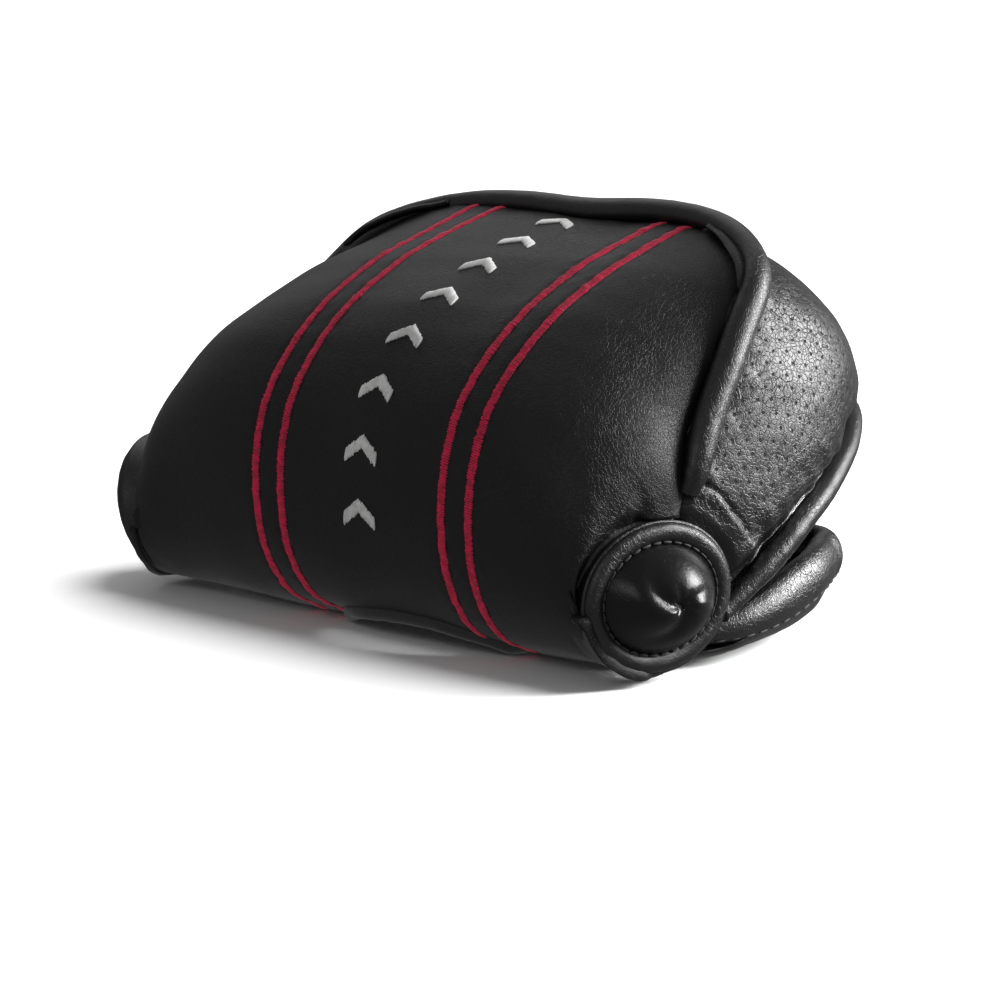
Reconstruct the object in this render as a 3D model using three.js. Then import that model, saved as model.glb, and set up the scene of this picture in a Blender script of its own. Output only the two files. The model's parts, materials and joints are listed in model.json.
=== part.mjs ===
// Putter head cover: a padded leather mallet cover with piped seams, round end caps
// and a hinged closing flap underneath. Millimetres, +Z up, +X to the right, and the
// front hem with the shaft notch towards -Y. The origin is the bottom centre.
import * as THREE from 'three';
import { mergeVertices } from 'three/addons/utils/BufferGeometryUtils.js';

// ---- driving dimensions ----
const GAP = 0.3; // clearance between neighbouring pieces
const LAYER_GAP = 0.6; // clearance between the layers, whose facets bridge the curves
const LEATHER = 1.2;
const FOAM = 1.9;
const LINING = 1.0;
const CROWN = 3.6; // how squarely the main panel turns down at its ends
const RING_X = { 1: 48, [-1]: 59 }; // how far each end ring is from the middle
const RING = { y: 16.5, z: 14, ry: 14.4, rz: 12.6, turn: 0.27 }; // end ring, turned forward
const RING_ARC = (75 * Math.PI) / 180; // where the seams leave the ring
const RING_WELT = 1.6; // radii of the welts and of the cords in them
const PIPING = 2.1;
const PIPING_CORE = 1.2;
const RIM_WELT = 2.0;
const RIM_CORE = 1.0;
const SEAM_TRIM = 2.5; // how far both leathers stop short of a piped seam
const CAP_RISE = 6.5;
const CAP_LINING_RISE = 4; // how far the caps and their linings dome outwards
const NOTCH = { x: 3, half: 19, depth: 0.95 }; // shaft notch in the front hem
const NOTCH_EDGE = 0.8;
const STRIPES = { right_outer: 23.5, right_inner: 17.8, left_inner: -17.8, left_outer: -23.5 };
const STRIPE_WIDTH = 1.7;
const STITCH = 0.7; // how thick the embroidery is
const MARKS = 8;
const MARK_HALF = 3.4;
const MARK_STROKE = 2.4; // width of a chevron's stroke, and how far its tip rises
const MARK_RISE = 2.6;
const MARK_RUN = { first: 19, last: 93 }; // lengths from the notch to the first and last mark
const HINGE = { y: 81.5, z: 36, half: 19, clear: 1.4 }; // clear: from the axis to each leather
const FLAP = { front: 24.2, rear: 72, flat: 0.15, inner: 4.2, roll: 5.6, binding: 2.3 };
const HEM_MAGNET = { x: 33, station: 0.85, radius: 3, thick: 1 };
const FLAP_MAGNET = { x: 30, y: 30, radius: 5, thick: 1.8 };

// centre line of the main panel, from the front hem over the top to the rear seam (y, z)
const CENTRE_LINE = [
  [17, 1.2], [8, 5.6], [2, 14.5], [0, 26.5], [2, 38], [8, 47.5],
  [18, 55.2], [30, 60.8], [41, 64.4], [49.5, 66.6], [55, 67.8], [58, 68.3],
];
const RING_STATIONS = 6; // centre-line stations that end on the ring, not on the seam
// the piped seam from the ring to the middle of the rear, right half (x, y, z)
const SEAM = [
  [48.6, 20.4, 26.2], [47.2, 25, 36], [45.6, 33, 46], [43.5, 41, 55],
  [40.5, 47.2, 61.6], [29, 55.2, 66.3], [14, 57.6, 68], [0, 58, 68.3],
];
// the fullest line of the rear band, and its lower rim, at the same stations
const BAND_MIDDLE = [
  [51.2, 28.3, 21.2], [52, 36, 29], [52, 46, 38], [50, 57, 45.6],
  [46.5, 66.5, 51.4], [36, 75, 56], [18, 79.8, 59.3], [0, 80.5, 60],
];
const BAND_RIM = [
  [51.9, 30.8, 12.9], [53.2, 41.5, 20], [53, 51, 25.3], [50.8, 61.5, 29.5],
  [46.5, 73.5, 35.2], [38.5, 82.5, 39.6], [21, 89, 43.3], [0, 91, 44],
];
// half width of the flap and height of its rolled edge (y, value)
const FLAP_WIDTH = [
  [24.2, 43.5], [29, 48], [36, 51.6], [44, 52.8], [54, 52.6], [62, 50.6], [68, 46.8], [72, 41.5],
];
const FLAP_RISE = [[24.2, 2.4], [33, 3.2], [45, 7], [54, 9.6], [65, 11.4], [72, 12]];

// ---- small helpers ----
const vec = (x, y, z) => new THREE.Vector3(x, y, z);
const mix = THREE.MathUtils.lerp;
const range = (count, from, to) =>
  Array.from({ length: count }, (_, i) => from + ((to - from) * i) / (count - 1));

// a smooth curve through points, asked at a station (0, 1, 2 ... along the points)
function through(points) {
  const last = points.length - 1;
  const curve = new THREE.CatmullRomCurve3(points.map((p) => vec(...p)), false, 'catmullrom', 0.5);
  return (station) => curve.getPoint(THREE.MathUtils.clamp(station / last, 0, 1));
}

// straight interpolation in rows of [y, value]
function table(rows, y) {
  const last = rows.length - 1;
  const k = rows.findIndex((row) => row[0] > y);
  const i = k < 0 ? last - 1 : Math.max(k - 1, 0);
  const t = THREE.MathUtils.clamp((y - rows[i][0]) / (rows[i + 1][0] - rows[i][0]), 0, 1);
  return mix(rows[i][1], rows[i + 1][1], t);
}

// the left end of the cover is wider than the right one, low down
const toLeft = (p) => {
  const wider = (RING_X[-1] - RING_X[1]) * (1 - THREE.MathUtils.smoothstep(p.z, 22, 56));
  return vec(-(p.x + wider), p.y, p.z);
};
const onSide = (side, p) => (side > 0 ? p : toLeft(p));

// a point of an end ring: its angle, how far inside the outline and how far out of the ring's plane
function ringPoint(side, angle, inward, out) {
  const normal = vec(side, -RING.turn, 0).normalize();
  const dy = (RING.ry - inward) * Math.cos(angle);
  const dz = (RING.rz - inward) * Math.sin(angle);
  const x = side * (RING_X[side] + RING.turn * dy);
  return vec(x, RING.y + dy, RING.z + dz).addScaledVector(normal, out);
}

// ---- the cover's outer surfaces ----
const centreLine = through(CENTRE_LINE.map(([y, z]) => [0, y, z]));
const seam = through(SEAM);
const bandMiddle = through(BAND_MIDDLE);
const bandRim = through(BAND_RIM);

function panelEdge(side, station) {
  if (station <= RING_STATIONS) {
    const angle = mix(2 * Math.PI - RING_ARC, RING_ARC, station / RING_STATIONS);
    return ringPoint(side, angle, 0, 0);
  }
  return onSide(side, seam(station - RING_STATIONS));
}

// across is -1 at the left edge, 0 in the middle and 1 at the right edge
function panelPoint(across, station) {
  const centre = centreLine(station);
  const edge = panelEdge(across < 0 ? -1 : 1, station);
  const drop = 1 - Math.sqrt(Math.max(0, 1 - Math.abs(across) ** CROWN));
  return vec(Math.abs(edge.x) * across, mix(centre.y, edge.y, drop), mix(centre.z, edge.z, drop));
}

// the band's station runs 0..7 on the right and 7..14 on the left; down is 0 at the seam
function bandPoint(station, down) {
  const side = station <= 7 ? 1 : -1;
  const k = side > 0 ? station : 14 - station;
  const weights = [(1 - down) * (1 - 2 * down), 4 * down * (1 - down), down * (2 * down - 1)];
  const point = vec(0, 0, 0);
  [seam(k), bandMiddle(k), bandRim(k)].forEach((p, i) => {
    point.addScaledVector(onSide(side, p), weights[i]);
  });
  return point;
}

// the parameter where a curve is a given distance from its start at t = from
function after(curve, from, to, distance) {
  const steps = 200;
  let walked = 0;
  let previous = curve(from);
  for (let i = 1; i <= steps; i += 1) {
    const t = mix(from, to, i / steps);
    const next = curve(t);
    walked += next.distanceTo(previous);
    if (walked >= distance) return t;
    previous = next;
  }
  return to;
}

// ---- building closed solids ----
function gridNormals(grid, outward) {
  return grid.map((row, i) => row.map((point, j) => {
    const along = grid[Math.min(i + 1, grid.length - 1)][j].clone().sub(grid[Math.max(i - 1, 0)][j]);
    const across = row[Math.min(j + 1, row.length - 1)].clone().sub(row[Math.max(j - 1, 0)]);
    const normal = along.cross(across).normalize();
    return normal.dot(outward(point)) < 0 ? normal.negate() : normal;
  }));
}

const offset = (grid, normals, depth) => grid.map((row, i) =>
  row.map((point, j) => point.clone().addScaledVector(normals[i][j], -depth)));

function closedGeometry(vertices, triangles) {
  const positions = vertices.flatMap((v) => [v.x, v.y, v.z]);
  let volume = 0;
  for (const [a, b, c] of triangles) volume += vertices[a].dot(vertices[b].clone().cross(vertices[c]));
  const faces = volume < 0 ? triangles.map(([a, b, c]) => [a, c, b]) : triangles;
  const geometry = new THREE.BufferGeometry();
  geometry.setAttribute('position', new THREE.Float32BufferAttribute(positions, 3));
  geometry.setIndex(faces.flat());
  geometry.computeVertexNormals();
  return geometry;
}

// a closed solid between two grids of points of the same size
function between(outer, inner) {
  const rows = outer.length;
  const cols = outer[0].length;
  const vertices = [...outer.flat(), ...inner.flat()];
  const at = (layer, i, j) => layer * rows * cols + i * cols + j;
  const triangles = [];
  const quad = (a, b, c, d) => triangles.push([a, b, c], [a, c, d]);
  for (let i = 0; i < rows - 1; i += 1) {
    for (let j = 0; j < cols - 1; j += 1) {
      quad(at(0, i, j), at(0, i, j + 1), at(0, i + 1, j + 1), at(0, i + 1, j));
      triangles.push([at(1, i, j), at(1, i + 1, j + 1), at(1, i, j + 1)]);
      triangles.push([at(1, i, j), at(1, i + 1, j), at(1, i + 1, j + 1)]);
    }
  }
  for (let j = 0; j < cols - 1; j += 1) {
    quad(at(0, 0, j), at(1, 0, j), at(1, 0, j + 1), at(0, 0, j + 1));
    quad(at(0, rows - 1, j), at(0, rows - 1, j + 1), at(1, rows - 1, j + 1), at(1, rows - 1, j));
  }
  for (let i = 0; i < rows - 1; i += 1) {
    quad(at(0, i, 0), at(0, i + 1, 0), at(1, i + 1, 0), at(1, i, 0));
    quad(at(0, i, cols - 1), at(1, i, cols - 1), at(1, i + 1, cols - 1), at(0, i + 1, cols - 1));
  }
  return closedGeometry(vertices, triangles);
}

function circle(radius, sides, holeRadius) {
  const ring = (r) => range(sides + 1, 0, 2 * Math.PI).slice(0, sides)
    .map((a) => new THREE.Vector2(r * Math.cos(a), r * Math.sin(a)));
  const shape = new THREE.Shape(ring(radius));
  if (holeRadius) shape.holes.push(new THREE.Path(ring(holeRadius)));
  return shape;
}

function rod(points, steps, radius, sides, holeRadius) {
  const extrudePath = new THREE.CatmullRomCurve3(points, false, 'centripetal');
  const section = circle(radius, sides, holeRadius);
  return new THREE.ExtrudeGeometry(section, { steps, extrudePath, curveSegments: 1 });
}

const object = new THREE.Group();
const finish = {
  leather: () => new THREE.MeshStandardMaterial({ color: 0x161616, roughness: 0.5 }),
  lining: () => new THREE.MeshStandardMaterial({ color: 0x3a3a3c, roughness: 0.95 }),
  foam: () => new THREE.MeshStandardMaterial({ color: 0xc8c2b0, roughness: 1 }),
  cord: () => new THREE.MeshStandardMaterial({ color: 0xd8d8d2, roughness: 0.9 }),
  red: () => new THREE.MeshStandardMaterial({ color: 0xa80f33, roughness: 0.7 }),
  white: () => new THREE.MeshStandardMaterial({ color: 0xdcdcdc, roughness: 0.7 }),
  steel: () => new THREE.MeshStandardMaterial({ color: 0xb8b8bb, roughness: 0.3, metalness: 1 }),
};

function add(name, geometry, look) {
  const mesh = new THREE.Mesh(geometry, finish[look]());
  mesh.name = name;
  object.add(mesh);
  return mesh;
}

// ---- main panel: leather, foam and lining ----
const stripeEdges = [17.8, 23.5].flatMap((x) => [x - STRIPE_WIDTH / 2, x + STRIPE_WIDTH / 2]);
const halfColumns = [MARK_HALF, 10.5, ...stripeEdges];
const sideDrops = [0.25, 0.5, 0.75, 1];
const rowStations = [0, 0.75, 1.5, 2.25, 3, 3.75, 4.5, 5.25, 6, 7, 8, 8.9, 9.6, 10.3];

// the front hem lifts into an arch over the shaft notch
function hemStation(x, station) {
  const reach = Math.abs((x - NOTCH.x) / NOTCH.half);
  const lift = reach < 1 ? NOTCH.depth * Math.sqrt(1 - reach ** 2.5) : 0;
  const last = rowStations[2];
  return station < last ? mix(lift, last, station / last) : station;
}

function panelRow(station) {
  const half = (side) => {
    const onRing = station <= RING_STATIONS;
    const edge = onRing ? 1 : after((a) => panelPoint(side * a, station), 1, 0, SEAM_TRIM);
    const width = Math.abs(panelEdge(side, station).x);
    const middle = halfColumns.map((x) => {
      const rowAt = hemStation(side * x, station);
      return panelPoint((side * x) / Math.abs(panelEdge(side, rowAt).x), rowAt);
    });
    const drop = (a) => 1 - Math.sqrt(Math.max(0, 1 - a ** CROWN));
    const first = drop(halfColumns[halfColumns.length - 1] / width);
    const outer = sideDrops.map((t) => {
      const d = mix(first, drop(edge), t);
      return panelPoint(side * (1 - (1 - d) ** 2) ** (1 / CROWN), station);
    });
    return [...middle, ...outer];
  };
  const centre = panelPoint(0, hemStation(0, station));
  return [...half(-1).reverse(), centre, ...half(1)];
}

const awayFromHead = (p) => vec(p.x * 0.15, p.y - 38, p.z - 26);
const panelGrid = rowStations.map(panelRow);
const ringRows = rowStations.filter((s) => s <= RING_STATIONS).length;
// neighbouring normals are averaged, so that the layers turn the rear corners evenly
const evened = (normals) => normals.map((row, i) => row.map((normal, j) => {
  const near = [row[j - 1], row[j + 1], normals[i - 1]?.[j], normals[i + 1]?.[j]].filter(Boolean);
  return near.reduce((sum, n) => sum.add(n), normal.clone().multiplyScalar(2)).normalize();
}));
const panelNormals = evened(evened(gridNormals(panelGrid, awayFromHead)));
for (let i = 0; i < ringRows; i += 1) {
  for (const [side, j] of [[-1, 0], [1, panelGrid[0].length - 1]]) {
    const p = panelGrid[i][j];
    const centre = vec(side * RING_X[side], RING.y, RING.z);
    panelNormals[i][j].copy(p).sub(centre).normalize();
  }
}
// the hidden layers stop further from the piped seam than the leather does
const retreat = (point, inner, distance) => {
  const room = point.distanceTo(inner);
  return point.clone().lerp(inner, Math.min(distance / room, 0.8));
};
function panelSheet(depth, back) {
  const grid = offset(panelGrid, panelNormals, depth);
  const last = grid.length - 1;
  const end = grid[0].length - 1;
  for (let i = ringRows; i <= last; i += 1) {
    grid[i][0] = retreat(grid[i][0], grid[i][1], back);
    grid[i][end] = retreat(grid[i][end], grid[i][end - 1], back);
  }
  grid[last] = grid[last].map((point, j) => retreat(point, grid[last - 1][j], back));
  return grid;
}
const panelLayer = (outer, thick, back, fromRow = 0) => between(
  panelSheet(outer, back).slice(fromRow),
  panelSheet(outer + thick, back).slice(fromRow),
);
const FOAM_AT = LEATHER + LAYER_GAP;
const LINING_AT = FOAM_AT + FOAM + LAYER_GAP;
const LAYER_RETREAT = 4;
const HEM_ROWS = 2; // the foam stops short of the hem, where the magnets are
add('main_panel', panelLayer(0, LEATHER, 0), 'leather');
add('main_panel_foam', panelLayer(FOAM_AT, FOAM, LAYER_RETREAT, HEM_ROWS), 'foam');
add('main_panel_lining', panelLayer(LINING_AT, LINING, LAYER_RETREAT), 'lining');

// ---- embroidered stripes and marks on the main panel ----
// the panel grid's column that runs along a given x
const columnLines = [...halfColumns.map((x) => -x).reverse(), 0, ...halfColumns];
const columnAt = (x) => sideDrops.length + columnLines.findIndex((line) => Math.abs(line - x) < 0.01);
const raised = offset(panelGrid, panelNormals, -GAP);
const raisedTop = offset(panelGrid, panelNormals, -GAP - STITCH);
for (const [name, x] of Object.entries(STRIPES)) {
  const j = columnAt(x - STRIPE_WIDTH / 2);
  const strip = (grid) => grid.map((row, i) => [row[j], row[j + 1]].map((point, k) =>
    (i === grid.length - 1 ? point.clone().lerp(grid[i - 1][j + k], 0.3) : point)));
  add(`stripe_${name}`, between(strip(raised), strip(raisedTop)), 'red');
}

// each mark is a chevron of satin stitch that follows the panel
const onPanel = (grid, x, row) => {
  const i = Math.min(Math.floor(row), grid.length - 2);
  const j = columnAt(-MARK_HALF);
  const a = grid[i][j].clone().lerp(grid[i + 1][j], row - i);
  const b = grid[i][j + 2].clone().lerp(grid[i + 1][j + 2], row - i);
  return a.lerp(b, (x + MARK_HALF) / (2 * MARK_HALF));
};
// grid row, with its fraction, at a length along the panel's middle line
const middleColumn = (panelGrid[0].length - 1) / 2;
function rowAtLength(length) {
  let walked = 0;
  for (let i = 0; i < panelGrid.length - 1; i += 1) {
    const step = panelGrid[i][middleColumn].distanceTo(panelGrid[i + 1][middleColumn]);
    if (walked + step >= length) return i + (length - walked) / step;
    walked += step;
  }
  return panelGrid.length - 1;
}
range(MARKS, MARK_RUN.first, MARK_RUN.last).forEach((length, k) => {
  const low = rowAtLength(length - MARK_STROKE / 2);
  const high = rowAtLength(length + MARK_STROKE / 2);
  const rise = rowAtLength(length + MARK_STROKE / 2 + MARK_RISE) - high;
  const chevron = (lift) => {
    const grid = offset(panelGrid, panelNormals, -lift);
    const reach = MARK_HALF - 0.4;
    return [low, high].map((row) => [-1, 0, 1].map((x) => onPanel(grid, x * reach, row + rise * (1 - Math.abs(x)))));
  };
  add(`mark_${k + 1}`, between(chevron(GAP + 0.25), chevron(GAP + 0.25 + STITCH)), 'white');
});

// ---- rear band: perforated leather, foam and lining ----
const bandStations = [0, 0.5, 1, 2, 3, 3.6, 4.2, 5, 6, 7, 8, 9, 9.8, 10.4, 11, 12, 13, 13.5, 14];
const BAND_ROWS = 6;
const bandGrid = bandStations.map((station) => {
  const atRing = station === 0 || station === 14;
  const trim = atRing ? 0.04 : after((d) => bandPoint(station, d), 0, 1, SEAM_TRIM);
  return range(BAND_ROWS, trim, 1).map((down) => bandPoint(station, down));
});
const bandNormals = gridNormals(bandGrid, (p) => vec(p.x * 0.6, p.y - 30, p.z - 20));
for (const [side, i] of [[1, 0], [-1, bandGrid.length - 1]]) {
  bandGrid[i].forEach((p, j) => {
    bandNormals[i][j].copy(p).sub(vec(side * RING_X[side], RING.y, RING.z)).normalize();
  });
}
const bandSheet = (depth, back) => offset(bandGrid, bandNormals, depth)
  .map((column) => [retreat(column[0], column[1], back), ...column.slice(1)]);
function bandLayer(outer, thick, back) {
  return between(bandSheet(outer, back), bandSheet(outer + thick, back));
}
add('rear_band', bandLayer(0, LEATHER, 0), 'leather');
add('rear_band_foam', bandLayer(FOAM_AT, FOAM, 1), 'foam');
add('rear_band_lining', bandLayer(LINING_AT, LINING, 2), 'lining');

// ---- end caps: a ring welt, a domed leather cap and its lining at each end ----
const CAP_ANGLES = 20;
function capGrid(side, inward, base, rise) {
  const radii = [0.06, 0.25, 0.5, 0.75, 0.92, 1];
  const outwards = vec(side, -RING.turn, 0).normalize();
  return radii.map((r) => range(CAP_ANGLES + 1, 0, 2 * Math.PI).map((angle) => {
    const height = base + rise * (1 - r ** 2.4);
    const middle = vec(side * RING_X[side], RING.y, RING.z).addScaledVector(outwards, height);
    return middle.lerp(ringPoint(side, angle, inward, height), r);
  }));
}
// a dome closed round its axis: the last column is the first one again, and the middle is filled
function domed(outer, inner) {
  const turns = CAP_ANGLES;
  const rings = outer.length;
  const vertices = [];
  const index = (layer, i, j) => layer * rings * turns + i * turns + (j % turns);
  for (const grid of [outer, inner]) {
    for (const ring of grid) vertices.push(...ring.slice(0, turns));
  }
  const middle = [outer, inner].map((grid) => {
    const sum = grid[0].slice(0, turns).reduce((s, p) => s.add(p), vec(0, 0, 0));
    return vertices.push(sum.divideScalar(turns)) - 1;
  });
  const triangles = [];
  for (let j = 0; j < turns; j += 1) {
    triangles.push([middle[0], index(0, 0, j), index(0, 0, j + 1)]);
    triangles.push([middle[1], index(1, 0, j + 1), index(1, 0, j)]);
    for (let i = 0; i < rings - 1; i += 1) {
      triangles.push([index(0, i, j), index(0, i + 1, j), index(0, i + 1, j + 1)]);
      triangles.push([index(0, i, j), index(0, i + 1, j + 1), index(0, i, j + 1)]);
      triangles.push([index(1, i, j), index(1, i + 1, j + 1), index(1, i + 1, j)]);
      triangles.push([index(1, i, j), index(1, i, j + 1), index(1, i + 1, j + 1)]);
    }
    triangles.push([index(0, rings - 1, j), index(1, rings - 1, j), index(1, rings - 1, j + 1)]);
    triangles.push([index(0, rings - 1, j), index(1, rings - 1, j + 1), index(0, rings - 1, j + 1)]);
  }
  return closedGeometry(vertices, triangles);
}
for (const [word, side] of [['right', 1], ['left', -1]]) {
  const inward = 2 * RING_WELT + GAP;
  add(`end_cap_${word}`, domed(
    capGrid(side, inward, 2 * GAP + LEATHER, CAP_RISE),
    capGrid(side, inward, 2 * GAP, CAP_RISE),
  ), 'leather');
  add(`end_cap_lining_${word}`, domed(
    capGrid(side, inward + 2.4, GAP + LINING, CAP_LINING_RISE),
    capGrid(side, inward + 2.4, GAP, CAP_LINING_RISE),
  ), 'lining');
  const loop = range(21, 0, 2 * Math.PI).slice(0, 20)
    .map((angle) => ringPoint(side, angle, RING_WELT, GAP + RING_WELT));
  const path = new THREE.CatmullRomCurve3(loop, true, 'centripetal');
  add(`ring_welt_${word}`, mergeVertices(new THREE.TubeGeometry(path, 22, RING_WELT, 8, true)), 'leather');
}

// ---- piping over the seam, and the welt under the band's rim, each with a core cord ----
function closestOn(line, point) {
  let best = null;
  const target = vec(0, 0, 0);
  for (let i = 0; i < line.length - 1; i += 1) {
    new THREE.Line3(line[i], line[i + 1]).closestPointToPoint(point, true, target);
    if (!best || target.distanceTo(point) < best.distanceTo(point)) best = target.clone();
  }
  return best;
}
const panelEnd = panelGrid[0].length - 1;
const seamRows = panelGrid.slice(ringRows - 1);
const panelBorder = [
  ...seamRows.map((row) => row[panelEnd]),
  ...[...panelGrid[panelGrid.length - 1]].reverse(),
  ...[...seamRows].reverse().map((row) => row[0]),
];
const bandBorder = bandGrid.map((column) => column[0]);
const seamPath = range(31, 0.34, 13.66).map((station) => {
  const point = bandPoint(station, 0);
  const a = closestOn(panelBorder, point);
  const b = closestOn(bandBorder, point);
  const middle = a.clone().lerp(b, 0.5);
  const along = bandPoint(station + 0.1, 0).sub(bandPoint(station - 0.1, 0));
  const out = along.cross(b.clone().sub(a)).normalize();
  if (out.dot(awayFromHead(point)) < 0) out.negate();
  const reach = PIPING + GAP + 0.45;
  const height = Math.sqrt(Math.max(reach ** 2 - (a.distanceTo(b) / 2) ** 2, 1));
  return middle.addScaledVector(out, height);
});
add('top_welt', rod(seamPath, 34, PIPING, 8, PIPING_CORE + GAP), 'leather');
add('top_welt_cord', rod(seamPath, 34, PIPING_CORE, 6), 'cord');
const rimBorder = bandGrid.map((column) => column[BAND_ROWS - 1]);
const rimPath = range(31, 0.25, 13.75).map((station) => {
  const down = bandPoint(station, 1).sub(bandPoint(station, 0.96)).normalize();
  const inwards = awayFromHead(bandPoint(station, 1)).normalize().negate();
  return closestOn(rimBorder, bandPoint(station, 1))
    .addScaledVector(down, RIM_WELT + GAP + 0.7)
    .addScaledVector(inwards, 0.4);
});
add('lower_welt', rod(rimPath, 34, RIM_WELT, 8, RIM_CORE + GAP), 'leather');
add('lower_welt_cord', rod(rimPath, 34, RIM_CORE, 6), 'cord');

// ---- bound edge of the shaft notch ----
const notchColumns = panelGrid[0].filter((p) => Math.abs(p.x - NOTCH.x) < NOTCH.half + 1);
const notchPath = notchColumns.map((p) => {
  const j = panelGrid[0].indexOf(p);
  const back = p.clone().sub(panelGrid[1][j]).normalize();
  return p.clone().addScaledVector(back, NOTCH_EDGE + 0.9).addScaledVector(panelNormals[0][j], -0.4);
});
add('notch_binding', rod(notchPath, 18, NOTCH_EDGE, 6), 'leather');

// ---- magnets sewn into the hem ----
function hemMagnet(name, side) {
  const { station } = HEM_MAGNET;
  const x = side * HEM_MAGNET.x;
  const at = (s, dx) => panelPoint((x + dx) / Math.abs(panelEdge(side, s).x), s);
  const along = at(station + 0.1, 0).sub(at(station - 0.1, 0)).normalize();
  const across = at(station, 1).sub(at(station, -1)).normalize();
  const inward = along.clone().cross(across).normalize();
  if (inward.dot(awayFromHead(at(station, 0))) > 0) inward.negate();
  const depth = (LEATHER + LINING_AT) / 2 + 0.15;
  const { radius, thick } = HEM_MAGNET;
  const mesh = add(name, new THREE.CylinderGeometry(radius, radius, thick, 16), 'steel');
  mesh.position.copy(at(station, 0)).addScaledVector(inward, depth);
  mesh.quaternion.setFromUnitVectors(vec(0, 1, 0), inward);
}
hemMagnet('hem_magnet_right', 1);
hemMagnet('hem_magnet_left', -1);

// ---- closing flap: a padded tray with a rolled edge ----
const flapAcross = [-1, -0.985, -0.95, -0.88, -0.7, -0.35, 0, 0.35, 0.7, 0.88, 0.95, 0.985, 1];
const flapAlong = [0, 0.12, 0.25, 0.4, 0.55, 0.7, 0.82, 0.9, 0.96, 1];
const flapLift = (s, t) => {
  const edge = 1 - (1 - Math.abs(s) ** 7) * (1 - t ** 9);
  const past = Math.max(0, edge - FLAP.flat) / (1 - FLAP.flat);
  return 1 - Math.sqrt(Math.max(0, 1 - past));
};
function flapSurface(inset, base, fromRow = 0) {
  return flapAlong.slice(fromRow).map((t) => {
    const y = mix(FLAP.front, FLAP.rear - inset, t);
    const width = table(FLAP_WIDTH, mix(FLAP.front, FLAP.rear, t)) - inset;
    const rise = Math.max(table(FLAP_RISE, mix(FLAP.front, FLAP.rear, t)) - base, 0.2);
    return flapAcross.map((s) => vec(width * s, y, base + rise * flapLift(s, t)));
  });
}
add('flap_outer', between(flapSurface(0, 0), flapSurface(LEATHER, LEATHER)), 'leather');
const FOAM_ROW = 2; // the foam starts behind the magnets
add('flap_foam', between(
  flapSurface(LEATHER + GAP, LEATHER + GAP, FOAM_ROW),
  flapSurface(FLAP.roll - GAP, FLAP.inner - GAP, FOAM_ROW),
), 'foam');
add('flap_lining', between(
  flapSurface(FLAP.roll, FLAP.inner),
  flapSurface(FLAP.roll + LINING, FLAP.inner + LINING),
), 'lining');

const rollRise = FLAP.binding + GAP + 0.5;
const flapOutline = [];
for (const t of [0, 0.2, 0.4, 0.6, 0.8, 0.93]) {
  const y = mix(FLAP.front, FLAP.rear, t);
  const x = table(FLAP_WIDTH, y) - FLAP.binding - 0.1;
  flapOutline.push(vec(x, y, table(FLAP_RISE, y) + rollRise));
}
const rearRoll = [24, 12, 0, -12, -24].map((x) =>
  vec(x, FLAP.rear - FLAP.binding - 0.2, table(FLAP_RISE, FLAP.rear) + rollRise));
const mirrored = flapOutline.map((p) => vec(-p.x, p.y, p.z)).reverse();
const frontRoll = [-38, -19, 0, 19, 38].map((x) =>
  vec(x, FLAP.front - FLAP.binding - GAP, FLAP.binding + 0.5));
const bindingLoop = [...flapOutline, ...rearRoll, ...mirrored, ...frontRoll];
const bindingPath = new THREE.CatmullRomCurve3(bindingLoop, true, 'centripetal');
const bindingTube = new THREE.TubeGeometry(bindingPath, 56, FLAP.binding, 8, true);
add('flap_binding', mergeVertices(bindingTube), 'leather');

for (const [word, side] of [['right', 1], ['left', -1]]) {
  const { radius, thick, x, y } = FLAP_MAGNET;
  const mesh = add(`flap_magnet_${word}`, new THREE.CylinderGeometry(radius, radius, thick, 20), 'steel');
  mesh.position.set(side * x, y, LEATHER + GAP + thick / 2);
  mesh.rotation.x = Math.PI / 2;
}

// ---- the leather hinge: a strap on the flap and the strip it is sewn to inside the band ----
function slab(low, high, thick, half) {
  const up = vec(0, high.y - low.y, high.z - low.z);
  const normal = vec(0, up.z, -up.y).normalize();
  const corner = (x, p, out) => vec(x, p.y, p.z).addScaledVector(normal, out);
  const face = (out) => [low, high].map((p) => range(3, -half, half).map((x) => corner(x, p, out)));
  return between(face(thick / 2), face(-thick / 2));
}
const rollTop = table(FLAP_RISE, FLAP.rear) + rollRise + FLAP.binding;
const strapFoot = vec(0, FLAP.rear - FLAP.binding + 0.9, rollTop + GAP + 0.3);
const strapHead = vec(0, HINGE.y, HINGE.z - HINGE.clear);
const facingFoot = vec(0, HINGE.y - 0.1, HINGE.z + HINGE.clear);
const facingHead = vec(0, HINGE.y - 1.4, HINGE.z + 13);
add('hinge_strap', slab(strapFoot, strapHead, 1.6, HINGE.half), 'leather');
add('hinge_facing', slab(facingFoot, facingHead, 1.4, HINGE.half - 1), 'leather');

// ---- origin at the bottom centre of the whole object ----
const box = new THREE.Box3().setFromObject(object, true);
object.position.set(-(box.min.x + box.max.x) / 2, -(box.min.y + box.max.y) / 2, -box.min.z);

export default object;
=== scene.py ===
# %% [markdown]
# # A padded putter head cover
# The cover is cut from black leather, padded with foam and lined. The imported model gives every
# piece its place, and this lesson dresses it: each sheet of leather is a grid that is laid over a
# form, thickened and welded, then finished with grain, stitches and embroidery.

# %% Load the frame
import json
import math

import bpy
import numpy as np
from mathutils import Matrix, Vector


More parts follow.
